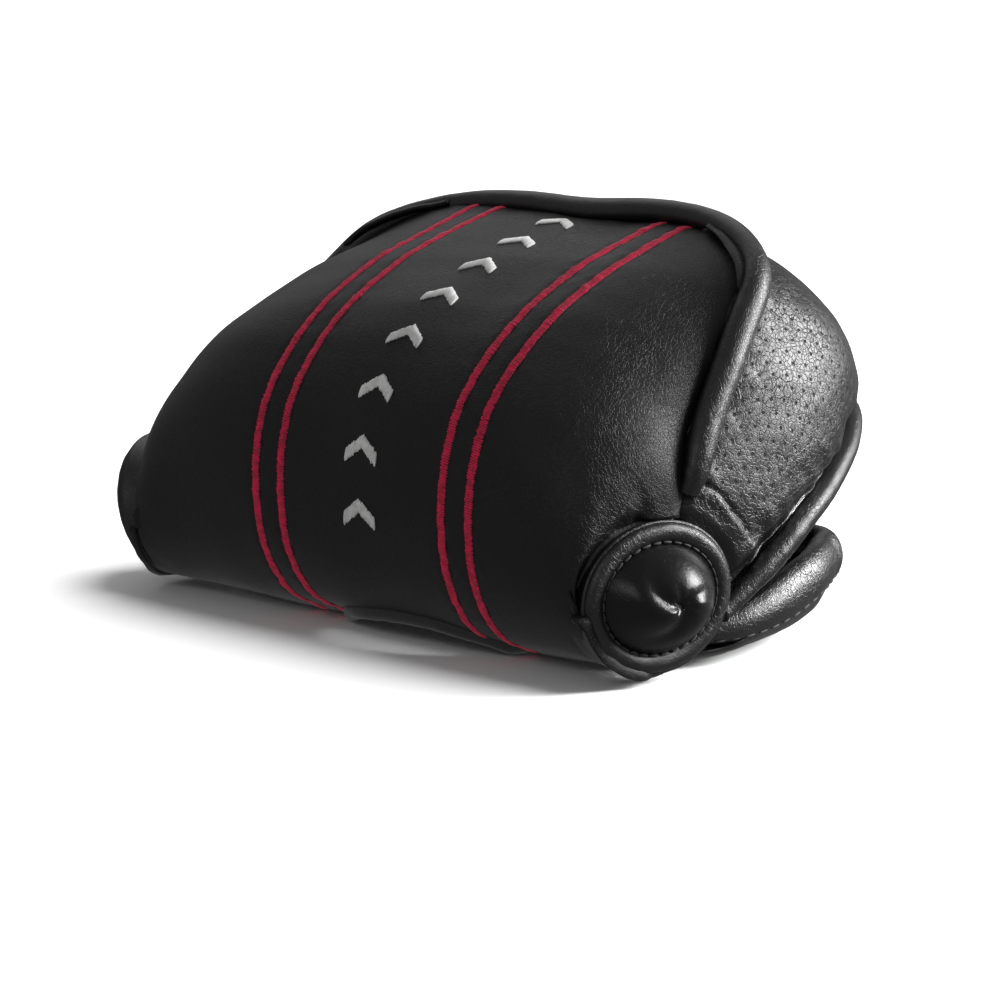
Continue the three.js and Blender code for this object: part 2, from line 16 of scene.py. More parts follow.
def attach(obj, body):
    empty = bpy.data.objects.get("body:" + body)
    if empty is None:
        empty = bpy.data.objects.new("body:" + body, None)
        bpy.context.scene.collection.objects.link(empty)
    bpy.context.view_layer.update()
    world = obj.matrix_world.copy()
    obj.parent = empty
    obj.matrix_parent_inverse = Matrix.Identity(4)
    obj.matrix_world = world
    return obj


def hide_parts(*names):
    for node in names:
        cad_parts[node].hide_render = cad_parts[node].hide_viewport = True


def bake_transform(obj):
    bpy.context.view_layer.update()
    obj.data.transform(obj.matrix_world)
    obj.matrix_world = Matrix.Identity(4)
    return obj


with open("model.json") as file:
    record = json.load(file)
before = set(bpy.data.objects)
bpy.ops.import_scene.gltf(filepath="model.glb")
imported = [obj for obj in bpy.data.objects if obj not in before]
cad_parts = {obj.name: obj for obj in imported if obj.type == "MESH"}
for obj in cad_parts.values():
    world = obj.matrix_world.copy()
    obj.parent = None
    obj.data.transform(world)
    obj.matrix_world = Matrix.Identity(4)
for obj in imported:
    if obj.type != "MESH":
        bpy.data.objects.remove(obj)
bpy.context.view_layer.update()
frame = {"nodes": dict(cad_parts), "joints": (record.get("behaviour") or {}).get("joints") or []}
hinge = frame["joints"][0]

# %% [markdown]
# ## The pattern's own measure
# A maker draws the cover in millimetres from the middle of the front hem. The hinge of the flap
# is known in both measures, so it tells how far the drawing is from the frame's origin.

# %% Drawing measure
MM = 0.001
HINGE_AT = np.array([0.0, 81.5, 36.0])
ORIGIN = np.array(hinge["pos_m"]) / MM - HINGE_AT
ORIGIN[2] = 0.0


def to_frame(points):
    """Drawing millimetres to the frame's metres."""
    return (np.asarray(points, float) + ORIGIN) * MM


print("drawing origin in the frame, mm:", ORIGIN.round(2))

# %% [markdown]
# ## Camera
# The camera stands 40 degrees to the right of the front and 11 degrees above the floor, with a
# long lens, as a catalogue picture is taken. It is made first, so that every later piece can be
# looked at from the same place.

# %% Camera
AZIMUTH, ELEVATION, ROLL = (math.radians(a) for a in (40, 11, 1))
DISTANCE, NEAREST = 0.4878, 0.01
SENSOR_WIDTH, FOCAL_LENGTH = 36, 108
AIM = to_frame([17.9, 14.2, 25.7])
forward = np.array([-math.sin(AZIMUTH) * math.cos(ELEVATION), math.cos(AZIMUTH) * math.cos(ELEVATION),
                    -math.sin(ELEVATION)])
level = np.array([math.cos(AZIMUTH), math.sin(AZIMUTH), 0.0])
upright = np.cross(level, forward)
right = level * math.cos(ROLL) + upright * math.sin(ROLL)
above = upright * math.cos(ROLL) - level * math.sin(ROLL)
camera_data = bpy.data.cameras.new("camera")
camera_data.sensor_width = SENSOR_WIDTH
camera_data.lens = FOCAL_LENGTH
camera_data.clip_start = NEAREST
camera = bpy.data.objects.new("camera", camera_data)
bpy.context.collection.objects.link(camera)
camera.matrix_world = Matrix.Translation(AIM - forward * DISTANCE) @ Matrix(
    np.array([right, above, -forward]).T.tolist()).to_4x4()
bpy.context.scene.camera = camera
print("camera at", [round(v, 3) for v in camera.location])

# %% [markdown]
# ## Curves and forms
# A sheet of leather takes the shape of what it is stretched over. Here that is a form: a formula
# that gives a point for each place across and along the sheet. A few measured stations joined by
# a smooth curve are enough for it, and they are the same stations that the frame was drawn with.


# %% Curve helpers
def through(points):
    """A smooth curve through points, asked at stations 0, 1, 2 and between."""
    knots = np.array(points, float)
    ends = [2 * knots[0] - knots[1]], [2 * knots[-1] - knots[-2]]
    padded = np.concatenate([ends[0], knots, ends[1]])

    def at(station):
        place = np.clip(np.asarray(station, float), 0, len(knots) - 1)
        i = np.minimum(place.astype(int), len(knots) - 2)
        f = (place - i)[..., None]
        before, a, b, after = (padded[i + k] for k in range(4))
        leave, arrive = (b - before) / 2, (after - a) / 2
        return ((2 * f**3 - 3 * f**2 + 1) * a + (f**3 - 2 * f**2 + f) * leave
                + (3 * f**2 - 2 * f**3) * b + (f**3 - f**2) * arrive)

    return at


def blend_in(value, start, stop):
    """0 before start, 1 after stop and a smooth step between them."""
    t = np.clip((np.asarray(value, float) - start) / (stop - start), 0, 1)
    return t * t * (3 - 2 * t)


def unit(vectors):
    return vectors / np.maximum(np.linalg.norm(vectors, axis=-1, keepdims=True), 1e-9)


def close_at_ends(rows, columns):
    """Rows that all run from -1 to 1, with their places closer together near both ends."""
    return np.broadcast_to(np.sin(np.linspace(-1, 1, columns) * math.pi / 2), (rows, columns))


def ripple(points, wavelength, seed, count=7):
    """A calm random surface between about -1 and 1, made of sine waves in random directions."""
    random = np.random.default_rng(seed)
    total = np.zeros(points.shape[:-1])
    for _ in range(count):
        direction = unit(random.normal(size=3)) * 2 * math.pi / (wavelength * random.uniform(0.7, 1.5))
        total += np.sin(points @ direction + random.uniform(0, 6.28))
    return total / math.sqrt(count)


print("curve helpers ready")

# %% [markdown]
# ### The main panel's form
# The panel runs from the front hem up the front, over the top and down to the rear seam. In the
# middle it follows one curve. Towards each end it turns down to the edge: low on the cover that
# is the round end ring, and higher up the piped seam.

# %% Main panel form
CENTRE_LINE = through([[0, y, z] for y, z in (
    (17, 1.2), (8, 5.6), (2, 14.5), (0, 26.5), (2, 38), (8, 47.5),
    (18, 55.2), (30, 60.8), (41, 64.4), (49.5, 66.6), (55, 67.8), (58, 68.3))])
SEAM = through([
    (48.6, 20.4, 26.2), (47.2, 25, 36), (45.6, 33, 46), (43.5, 41, 55),
    (40.5, 47.2, 61.6), (29, 55.2, 66.3), (14, 57.6, 68), (0, 58, 68.3)])
RING_STATIONS, REAR_STATION = 6, 11
RING_X = {1: 48.0, -1: 59.0}
RING_Y, RING_Z, RING_RY, RING_RZ, RING_TURN = 16.5, 14.0, 14.4, 12.6, 0.27
RING_ARC = math.radians(75)
CROWN = 3.6


def on_side(side, points):
    """Right-hand points as they are, or mirrored to the left end, which is wider low down."""
    if side > 0:
        return points
    wider = points.copy()
    wider[..., 0] = -(points[..., 0] + (RING_X[-1] - RING_X[1]) * (1 - blend_in(points[..., 2], 22, 56)))
    return wider


def ring_axis(side):
    """The direction that an end ring faces."""
    return unit(np.array([side, -RING_TURN, 0.0]))


def ring_point(side, angle, inward=0.0, out=0.0):
    """A point on or in an end ring: how far inside its outline and how far out of its plane."""
    dy = (RING_RY - inward) * np.cos(angle)
    dz = (RING_RZ - inward) * np.sin(angle)
    flat = np.stack([side * (RING_X[side] + RING_TURN * dy), RING_Y + dy, RING_Z + dz], -1)
    return flat + np.asarray(out, float)[..., None] * ring_axis(side)


def panel_edge(side, station):
    share = np.clip(station / RING_STATIONS, 0, 1)
    low = ring_point(side, 2 * math.pi - RING_ARC + share * (2 * RING_ARC - 2 * math.pi))
    high = on_side(side, SEAM(station - RING_STATIONS))
    return np.where((station <= RING_STATIONS)[..., None], low, high)


def panel_form(across, station):
    """across is -1 at the left edge and 1 at the right; station is 0 at the hem, 11 at the seam."""
    centre = CENTRE_LINE(station)
    edge = np.where((across < 0)[..., None], panel_edge(-1, station), panel_edge(1, station))
    drop = 1 - np.sqrt(np.maximum(0, 1 - np.abs(across) ** CROWN))
    point = centre + (edge - centre) * drop[..., None]
    point[..., 0] = np.abs(edge[..., 0]) * across
    return point


print("panel top at", panel_form(np.array(0.0), np.array(11.0)).round(1), "mm")

# %% [markdown]
# ### The rear band's form
# The band starts at the piped seam, swells over its fullest line and comes in to the lower rim.
# Three curves are joined across by a parabola. It runs from the right ring round to the left one.

# %% Rear band form
BAND_MIDDLE = through([
    (51.2, 28.3, 21.2), (52, 36, 29), (52, 46, 38), (50, 57, 45.6),
    (46.5, 66.5, 51.4), (36, 75, 56), (18, 79.8, 59.3), (0, 80.5, 60)])
BAND_RIM = through([
    (51.9, 30.8, 12.9), (53.2, 41.5, 20), (53, 51, 25.3), (50.8, 61.5, 29.5),
    (46.5, 73.5, 35.2), (38.5, 82.5, 39.6), (21, 89, 43.3), (0, 91, 44)])
BAND_END = 14
MIDDLE_OF_COVER = np.array([0.0, 38.0, 26.0])


def band_form(station, down):
    """station runs 0 to 7 on the right and 7 to 14 on the left; down is 0 at the seam, 1 at the rim."""
    shares = (1 - down) * (1 - 2 * down), 4 * down * (1 - down), down * (2 * down - 1)
    k = np.where(station <= 7, station, BAND_END - station)
    sides = []
    for side in (1, -1):
        curves = (on_side(side, curve(k)) for curve in (SEAM, BAND_MIDDLE, BAND_RIM))
        sides.append(sum(share[..., None] * p for share, p in zip(shares, curves)))
    return np.where((station <= 7)[..., None], sides[0], sides[1])


print("band at the rear:", band_form(np.array(7.0), np.array(0.5)).round(1), "mm")

# %% [markdown]
# ## Laying a sheet
# A grid primitive is the flat sheet. Its vertices are moved onto the form's points, which is what
# stretching leather over a last does, and the faces keep the order of the grid. The relief of a
# sheet, its puckers and hollows, is a height added along the form's normals.


# %% Sheet helpers
def deselect():
    bpy.ops.object.select_all(action="DESELECT")


def only(piece):
    deselect()
    piece.select_set(True)
    bpy.context.view_layer.objects.active = piece


def grid_normals(points):
    along, across = np.gradient(points, axis=0), np.gradient(points, axis=1)
    return unit(np.cross(across, along))


def raise_by(points, height):
    return points + grid_normals(points) * np.asarray(height)[..., None]


def lay_sheet(name, points):
    """A grid primitive laid on rows x columns of points, given in drawing millimetres."""
    rows, columns = points.shape[:2]
    deselect()
    bpy.ops.mesh.primitive_grid_add(x_subdivisions=columns - 1, y_subdivisions=rows - 1, size=2)
    sheet = bpy.context.object
    sheet.name = sheet.data.name = name
    flat = np.array([v.co for v in sheet.data.vertices])
    j = np.rint((flat[:, 0] + 1) / 2 * (columns - 1)).astype(int)
    i = np.rint((flat[:, 1] + 1) / 2 * (rows - 1)).astype(int)
    sheet.data.vertices.foreach_set("co", to_frame(points[i, j]).astype(np.float32).ravel())
    bpy.ops.object.shade_smooth()
    return sheet


def set_uv(sheet, across, along):
    """Writes a UV map in metres from two rows x columns arrays of millimetres."""
    corner = np.zeros(len(sheet.data.loops), int)
    sheet.data.loops.foreach_get("vertex_index", corner)
    uv = np.stack([across.ravel(), along.ravel()], -1) * MM
    sheet.data.uv_layers[0].data.foreach_set("uv", uv[corner].astype(np.float32).ravel())


def apply_modifier(piece, kind, **settings):
    only(piece)
    modifier = piece.modifiers.new(kind.lower(), kind)
    for key, value in settings.items():
        setattr(modifier, key, value)
    bpy.ops.object.modifier_apply(modifier=modifier.name)


def thicken(piece, thickness):
    """Gives a sheet its thickness on the inner side, with a rim."""
    apply_modifier(piece, "SOLIDIFY", thickness=thickness * MM, offset=-1, use_rim=True)


WELD_DISTANCE = 0.02


def weld(piece, fill=True):
    """Closes a sheet whose edges meet, as when it is rolled into a tube, and fills open ends."""
    only(piece)
    bpy.ops.object.mode_set(mode="EDIT")
    bpy.ops.mesh.select_all(action="SELECT")
    bpy.ops.mesh.remove_doubles(threshold=WELD_DISTANCE * MM)
    if fill:
        bpy.ops.mesh.select_all(action="DESELECT")
        bpy.ops.mesh.select_non_manifold(extend=False)
        bpy.ops.mesh.fill()
        bpy.ops.mesh.select_all(action="SELECT")
        bpy.ops.mesh.normals_make_consistent(inside=False)
    bpy.ops.object.mode_set(mode="OBJECT")


print("sheet helpers ready")

# %% [markdown]
# ## Rolls
# Piping, welts and bindings are leather rolled over a cord. Each is a sheet whose columns go once
# round the cord's path, and the two long edges are welded. The roll may be oval and may change
# along the path, and fine folds pucker it wherever the leather is pulled round a bend.


# %% Roll helper
def resample(path, count):
    steps = np.concatenate([[0], np.cumsum(np.linalg.norm(np.diff(path, axis=0), axis=1))])
    marks = np.linspace(0, steps[-1], count)
    return np.stack([np.interp(marks, steps, path[:, k]) for k in range(3)], -1), steps[-1]


def path_frames(path, toward):
    """Tangent, side and out directions along a path; out leans towards the given directions."""
    tangent = unit(np.gradient(path, axis=0))
    out = unit(toward - tangent * np.sum(toward * tangent, -1, keepdims=True))
    return tangent, np.cross(tangent, out), out


def smooth_path(path, times):
    for _ in range(times):
        path[1:-1] = path[1:-1] / 2 + (path[:-2] + path[2:]) / 4
    return path


def section(path, toward, wide, tall, angle):
    """Points round a path at an angle: wide is the half width beside it and tall the one outwards."""
    _, side, out = path_frames(path, toward)
    wide, tall = (np.broadcast_to(np.asarray(half, float), len(path))[:, None] for half in (wide, tall))
    return path + side * wide * math.cos(angle) + out * tall * math.sin(angle)


def roll(name, path, toward, wide, tall, sides, pucker=0.0, fold=2.4, seed=1):
    """A leather roll round a path. It is closed if the path's ends meet."""
    closed = np.allclose(path[0], path[-1])
    turns = [section(path, toward, wide, tall, a) for a in np.linspace(0, 2 * math.pi, sides + 1)]
    points = np.stack(turns, 1)
    if np.any(pucker):
        folds = (ripple(points, fold, seed) + ripple(points, 2.2 * fold, seed + 1)) / 2
        points = points + unit(points - path[:, None]) * (folds * np.reshape(pucker, (-1, 1)))[..., None]
    points[:, -1] = points[:, 0]
    if closed:
        points[0] = points[-1] = (points[0] + points[-1]) / 2
    piece = lay_sheet(name, points)
    weld(piece, fill=not closed)
    return piece


def finish_piece(piece, finish, slot, *nodes, body="cover"):
    """Material, the CAD nodes it stands for and the body it moves with; the slot argument is not used."""
    wear(piece, finish)
    if nodes:
        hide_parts(*nodes)
    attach(piece, body)


print("roll helper ready")

# %% [markdown]
# ## Materials as sums
# A material is arithmetic on values that change over the surface. One small class wraps a socket,
# so that `grain * 0.3 + creases` adds the Math nodes by itself, and one method adds any other
# node with its settings and its inputs.


# %% Shader helpers
class Value:
    """A number that changes over a surface; arithmetic on it adds Math nodes."""

    def __init__(self, maker, socket):
        self.maker, self.socket = maker, socket

    def math(self, operation, *others):
        node = self.maker.node("ShaderNodeMath", {"operation": operation}, dict(enumerate((self, *others))))
        return Value(self.maker, node.outputs[0])

    def __add__(self, other):
        return self.math("ADD", other)

    def __sub__(self, other):
        return self.math("SUBTRACT", other)

    def __rsub__(self, other):
        return (self * -1) + other

    def __mul__(self, other):
        return self.math("MULTIPLY", other)

    def __truediv__(self, other):
        return self.math("DIVIDE", other)

    __radd__, __rmul__ = __add__, __mul__

    def between(self, low, high):
        """0 below low, 1 above high and a smooth step between."""
        settings = {"interpolation_type": "SMOOTHSTEP"}
        node = self.maker.node("ShaderNodeMapRange", settings, {0: self, 1: low, 2: high})
        return Value(self.maker, node.outputs[0])


class Finish:
    """One material and its nodes."""

    def __init__(self, name, colour, roughness, **shader):
        self.material = bpy.data.materials.new(name)
        self.material.use_nodes = True
        self.tree = self.material.node_tree
        self.shader = self.tree.nodes["Principled BSDF"]
        self.shader.inputs["Base Color"].default_value = (*colour, 1)
        self.shader.inputs["Roughness"].default_value = roughness
        self.material.diffuse_color = (*colour, 1)
        for socket, value in shader.items():
            self.shader.inputs[socket.replace("_", " ")].default_value = value

    def node(self, kind, settings=None, inputs=None):
        node = self.tree.nodes.new(kind)
        for key, value in (settings or {}).items():
            setattr(node, key, value)
        for key, value in (inputs or {}).items():
            if isinstance(value, Value):
                self.tree.links.new(value.socket, node.inputs[key])
            elif isinstance(value, bpy.types.NodeSocket):
                self.tree.links.new(value, node.inputs[key])
            else:
                node.inputs[key].default_value = value
        return node

    def place(self):
        return self.node("ShaderNodeTexCoord").outputs["Object"]

    def noise(self, where, scale, detail=2.0, roughness=0.5):
        inputs = {"Vector": where, "Scale": scale, "Detail": detail, "Roughness": roughness}
        return Value(self, self.node("ShaderNodeTexNoise", None, inputs).outputs["Fac"])

    def cells(self, where, scale, feature="DISTANCE_TO_EDGE"):
        inputs = {"Vector": where, "Scale": scale}
        node = self.node("ShaderNodeTexVoronoi", {"feature": feature}, inputs)
        return Value(self, node.outputs["Distance"])

    def warped(self, where, scale, amount):
        """The same place, pushed about by a noise, so that straight cell walls wander."""
        push = self.node("ShaderNodeTexNoise", None, {"Vector": where, "Scale": scale, "Detail": 2.0})
        centred = self.node("ShaderNodeVectorMath", {"operation": "SUBTRACT"},
                            {0: push.outputs["Color"], 1: (0.5, 0.5, 0.5)})
        scaled = self.node("ShaderNodeVectorMath", {"operation": "SCALE"},
                           {0: centred.outputs[0], "Scale": amount})
        moved = self.node("ShaderNodeVectorMath", {"operation": "ADD"}, {0: where, 1: scaled.outputs[0]})
        return moved.outputs[0]

    def tint(self, mask, dark, light):
        """dark where mask is 0 and light where it is 1; either may be a colour or a socket."""
        pair = [(*shade, 1) if isinstance(shade, tuple) else shade for shade in (dark, light)]
        node = self.node("ShaderNodeMix", {"data_type": "RGBA"}, {0: mask, 6: pair[0], 7: pair[1]})
        return node.outputs[2]

    def feed(self, socket, value):
        self.tree.links.new(value.socket if isinstance(value, Value) else value, self.shader.inputs[socket])

    def bump(self, height, distance, strength=1.0):
        inputs = {"Height": height, "Distance": distance, "Strength": strength}
        node = self.node("ShaderNodeBump", None, inputs)
        self.feed("Normal", node.outputs[0])


def wear(piece, finish):
    """Gives a piece its one material."""
    piece.data.materials.clear()
    piece.data.materials.append(finish.material)


print("shader helpers ready")

# %% [markdown]
# ### Leather
# The leather is black and half glossy. What shows in the light is a net of fine creases one or two
# millimetres apart, with a much finer grain between them, and slow changes of gloss where it has
# been handled. Creases are the walls of Voronoi cells, warped so that they wander.


# %% Leather
BLACK = (0.0062, 0.0062, 0.0066)
WORN = (0.0125, 0.0124, 0.0125)


def leather(name, roughness=0.4, crease=1.0, crease_scale=800.0, grain=1.0, shine=0.5, holes=False):
    finish = Finish(name, BLACK, roughness, Specular_IOR_Level=shine)
    place = finish.place()
    wander = finish.warped(place, 330.0, 0.0016)
    wide = 1 - finish.cells(wander, crease_scale).between(0.0, 0.06)
    fine = 1 - finish.cells(wander, crease_scale * 2.1).between(0.0, 0.1)
    patch = finish.noise(place, 85.0).between(0.42, 0.72)
    pores = finish.noise(place, 4200.0, 3.0, 0.6)
    lines = wide * (patch * 0.75 + 0.25) + fine * 0.4
    height = pores * (0.3 * grain) - lines * (0.5 * crease)
    handled = finish.noise(place, 45.0, 3.0)
    gloss = handled * 0.12 + pores * 0.08 + lines * 0.08 + (roughness - 0.1)
    shade = finish.tint(handled.between(0.45, 0.8) * 0.7, BLACK, WORN)
    if holes:
        mask = hole_mask(finish)
        height = height - mask * 4.0
        gloss = gloss + mask * 0.4
        # Painted shade: each hole is painted almost black, for the shade inside it. Its dip in the bump and
        # its roughness are real.
        shade = finish.tint(mask, shade, (0.0005, 0.0005, 0.0005))
    finish.feed("Base Color", shade)
    finish.feed("Roughness", gloss)
    finish.bump(height, 0.00016, 0.8)
    return finish


# %% [markdown]
# ### Perforations
# The band's leather is punched with small holes in staggered rows. The sheet carries a map in
# metres of its own surface, so the rows stay even where the sheet bends, and a second value tells
# how near the edge is, because no hole is punched in the seam allowance.

# %% Hole rows
HOLE_PITCH, ROW_PITCH, HOLE_RADIUS, HOLE_MARGIN = 2.9, 2.2, 0.27, 3.4


def hole_mask(finish):
    flat = finish.node("ShaderNodeSeparateXYZ", None, {0: finish.node("ShaderNodeUVMap").outputs[0]})
    along, across = (Value(finish, flat.outputs[k]) for k in (0, 1))
    rows = across / (ROW_PITCH * MM)
    odd = rows.math("FLOOR").math("FLOORED_MODULO", 2.0)
    columns = along / (HOLE_PITCH * MM) + odd * 0.5
    x = (columns.math("FRACT") - 0.5) * HOLE_PITCH
    y = (rows.math("FRACT") - 0.5) * ROW_PITCH
    reach = (x * x + y * y).math("SQRT")
    margin = finish.node("ShaderNodeAttribute", {"attribute_name": "edge_mm"})
    inside = Value(finish, margin.outputs["Fac"]).between(HOLE_MARGIN - 0.05, HOLE_MARGIN)
    return (1 - reach.between(HOLE_RADIUS - 0.05, HOLE_RADIUS + 0.05)) * inside


panel_leather = leather("panel leather", roughness=0.44, crease=1.0, grain=1.2, shine=0.32)
band_leather = leather("perforated leather", roughness=0.37, crease=1.1, crease_scale=560.0, holes=True)
welt_leather = leather("welt leather", roughness=0.34, crease=0.6, crease_scale=900.0, shine=0.6)
flap_leather = leather("flap leather", roughness=0.31, crease=0.7, crease_scale=700.0, shine=0.85)
cap_leather = leather("cap leather", roughness=0.22, crease=0.25, grain=0.35, shine=0.3)
print("five leathers")

# %% [markdown]
# ### Thread, lining and what is hidden
# Embroidery thread is shiny along its twist. The lining is a brushed knit. Foam, filler cord and
# magnets are inside, so they get a plain but true finish.


# %% Thread and cloth
def thread(name, dark, light, roughness=0.5):
    finish = Finish(name, dark, roughness, Sheen_Weight=0.3, Sheen_Roughness=0.4)
    place = finish.place()
    fibre = finish.noise(place, 5200.0, 2.0)
    finish.feed("Base Color", finish.tint(finish.noise(place, 900.0).between(0.3, 0.7), dark, light))
    finish.bump(fibre, 0.00008, 0.6)
    return finish


def cloth(name, dark, light, scale, fuzz=0.5):
    finish = Finish(name, dark, 0.9, Sheen_Weight=fuzz, Sheen_Roughness=0.5)
    place = finish.place()
    knit = finish.cells(place, scale, "F1")
    finish.feed("Base Color", finish.tint(knit.between(0.1, 0.7) * finish.noise(place, 60.0), dark, light))
    finish.bump(knit + finish.noise(place, scale * 2.5, 3.0) * 0.6, 0.0003, 0.8)
    return finish


red_thread = thread("crimson thread", (0.5, 0.0005, 0.04), (0.85, 0.001, 0.085))
white_thread = thread("white thread", (0.72, 0.72, 0.71), (0.9, 0.9, 0.89))
black_thread = thread("black thread", (0.01, 0.01, 0.011), (0.03, 0.03, 0.032), 0.6)
lining_cloth = cloth("lining knit", (0.045, 0.045, 0.048), (0.11, 0.11, 0.115), 1500.0)
foam_cells = cloth("padding foam", (0.035, 0.035, 0.037), (0.06, 0.06, 0.062), 1200.0, 0.1)
filler_cord = cloth("filler cord", (0.55, 0.55, 0.52), (0.7, 0.7, 0.67), 2600.0, 0.2)
plated = Finish("magnet plating", (0.6, 0.6, 0.61), 0.28, Metallic=1.0)
plated.bump(plated.noise(plated.place(), 900.0, 4.0), 0.00005, 0.4)
print("threads, lining, foam, cord and plating")

# %% [markdown]
# ## Main panel
# The panel is one piece of leather. It is glued over foam, so it puffs a little between its seams
# and sinks where it is sewn. The four stripes pull it down in shallow grooves, with fine puckers
# beside them. The grid is closest near the ends, where the leather turns down. It is softened away
# from the seams, and its two lower corners are tucked in behind the rings.

# %% Main panel shape
NOTCH_X, NOTCH_HALF, NOTCH_DEPTH, HEM_BLEND = 3.0, 19.0, 0.95, 1.5
STRIPE_X = (-23.5, -17.8, 17.8, 23.5)
LEATHER, LINING_DEPTH = 1.2, 4.4
PANEL_ROWS, PANEL_COLUMNS = 201, 261
LINING_ROWS, LINING_COLUMNS, LINING_END = 19, 27, 10.55
SOFTENING = 70


def notch_lift(x):
    reach = np.minimum(np.abs((x - NOTCH_X) / NOTCH_HALF), 1)
    return NOTCH_DEPTH * np.sqrt(1 - reach**2.5)


def panel_points(rows, columns):
    """Rows x columns of points on the panel, with the notch in the hem, and their stations."""
    across = close_at_ends(rows, columns)
    station = np.broadcast_to(np.linspace(0, REAR_STATION, rows)[:, None], (rows, columns))
    plain = panel_form(across, np.zeros_like(across))
    lift = notch_lift(plain[..., 0])
    station = np.where(station < HEM_BLEND, lift + (HEM_BLEND - lift) * station / HEM_BLEND, station)
    return panel_form(across, station), station


def arc(points, axis):
    """Length along the rows or columns from the first point, in millimetres."""
    steps = np.linalg.norm(np.diff(points, axis=axis), axis=-1)
    start = np.zeros_like(np.take(steps, [0], axis=axis))
    return np.cumsum(np.concatenate([start, steps], axis=axis), axis=axis)


def path_length(path):
    return arc(path[:, None], 0)[-1, 0]


def seam_distance(points, station):
    """How far each point of the panel is from the piped seam, and from the end rings."""
    sideways = arc(points, 1)
    to_side = np.minimum(sideways, sideways[:, -1:] - sideways)
    lengthways = arc(points, 0)
    to_rear = lengthways[-1:] - lengthways
    beyond = blend_in(station, RING_STATIONS - 0.9, RING_STATIONS + 0.9)
    to_seam = np.minimum(to_rear, to_side + 40 * (1 - beyond))
    return to_seam, to_side + 40 * beyond


def soften(points, times):
    """Evens out the inner points of a grid and leaves its edges where they are."""
    points = points.copy()
    for _ in range(times):
        around = points[:-2, 1:-1] + points[2:, 1:-1] + points[1:-1, :-2] + points[1:-1, 2:]
        points[1:-1, 1:-1] = 0.5 * points[1:-1, 1:-1] + 0.125 * around
    return points


points, panel_station = panel_points(PANEL_ROWS, PANEL_COLUMNS)
to_seam, to_ring = seam_distance(points, panel_station)
inner_part = blend_in(np.minimum(to_seam, to_ring), 3, 14)[..., None]
points = points + (soften(points, SOFTENING) - points) * inner_part
x = points[..., 0]
groove = sum(np.exp(-(((x - s) / 1.1) ** 2)) for s in STRIPE_X)
beside = sum(np.exp(-(((x - s) / 2.6) ** 2)) for s in STRIPE_X)
puff = 0.9 - 0.5 * (1 - blend_in(to_seam, 0, 9)) - 1.6 * (1 - blend_in(to_seam, 0, 3.6))
puff -= 0.4 * (1 - blend_in(to_ring, 0, 9)) + 0.9 * (1 - blend_in(to_ring, 0, 2.8))
pulled = ripple(points, 5.0, 3) * (1 - blend_in(np.minimum(to_seam, to_ring), 1, 9))
relief = (puff - 0.4 - 0.28 * groove + 0.05 * beside * ripple(points, 2.4, 4)
          + 0.12 * pulled + 0.2 * ripple(points, 26.0, 5) + 0.05 * ripple(points, 9.0, 6))
panel_surface = raise_by(points, relief)
corner = (1 - blend_in(to_ring, 0, 8)) * (1 - blend_in(arc(points, 0), 0, 8))
panel_surface[..., 0] -= 2.4 * corner * np.sign(panel_surface[..., 0])
panel_surface[..., 2] += 0.5 * corner
panel_normals = grid_normals(panel_surface)
main_panel = lay_sheet("main_panel_leather", panel_surface)
thicken(main_panel, LEATHER)
finish_piece(main_panel, panel_leather, "panel_leather", "main_panel")
print("main panel:", len(main_panel.data.polygons), "faces")

# %% [markdown]
# ### Lining of the panel
# The lining follows the panel on the inner side of the foam. A coarse sheet is enough, because
# the Subdivision Surface modifier rounds it.


# %% Panel lining
def coarse_lining(name, points, depth, node):
    inner = raise_by(points, np.full(points.shape[:2], -depth))
    sheet = lay_sheet(name, inner)
    apply_modifier(sheet, "SUBSURF", levels=2, render_levels=2)
    apply_modifier(sheet, "SOLIDIFY", thickness=0.8 * MM, offset=-1, use_rim=True)
    finish_piece(sheet, lining_cloth, "lining", node)
    return sheet, inner


lining_across = 0.93 * close_at_ends(LINING_ROWS, LINING_COLUMNS)
lining_rows = np.linspace(0, LINING_END, LINING_ROWS)[:, None]
lining_station = np.broadcast_to(lining_rows, lining_across.shape)
lift = notch_lift(panel_form(lining_across, np.zeros_like(lining_across))[..., 0])
lifted_station = lift + (1 - lift / HEM_BLEND) * lining_station
lining_station = np.where(lining_station < HEM_BLEND, lifted_station, lining_station)
lining_form = panel_form(lining_across, lining_station)
panel_lining, lining_points = coarse_lining(
    "main_panel_lining_cloth", lining_form, LINING_DEPTH, "main_panel_lining")
print("panel lining:", len(panel_lining.data.polygons), "faces")

# %% [markdown]
# ### Turned hem
# At the front hem the leather is turned in over the foam and sewn to the lining. The strip between
# the two edges is a short sheet that bulges a little downwards.


# %% Hem fold
def fold_strip(name, outer_edge, inner_edge, bulge, direction, finish, slot):
    """A short bulging sheet that closes the edge between the leather and the lining."""
    share = np.linspace(0, 1, 9)[:, None, None]
    points = outer_edge[None] * (1 - share) + inner_edge[None] * share
    points = points + np.sin(share * math.pi) * bulge * direction[None]
    strip = lay_sheet(name, points)
    apply_modifier(strip, "SOLIDIFY", thickness=0.5 * MM, offset=0, use_rim=True)
    finish_piece(strip, finish, slot)


HEM_POINTS, CORNER_COLUMNS = 161, 6
hem_outer, _ = resample(panel_surface[0, CORNER_COLUMNS:-CORNER_COLUMNS], HEM_POINTS)
hem_inner, _ = resample(lining_points[0], HEM_POINTS)
hem_columns = np.linspace(CORNER_COLUMNS, PANEL_COLUMNS - 1 - CORNER_COLUMNS, HEM_POINTS).astype(int)
hem_back = unit(panel_surface[0] - panel_surface[4])[hem_columns]
hem_outer = hem_outer - hem_back * 0.1
fold_strip("hem_fold", hem_outer, hem_inner, 0.9, hem_back, panel_leather, "panel_leather")
print("hem fold made")

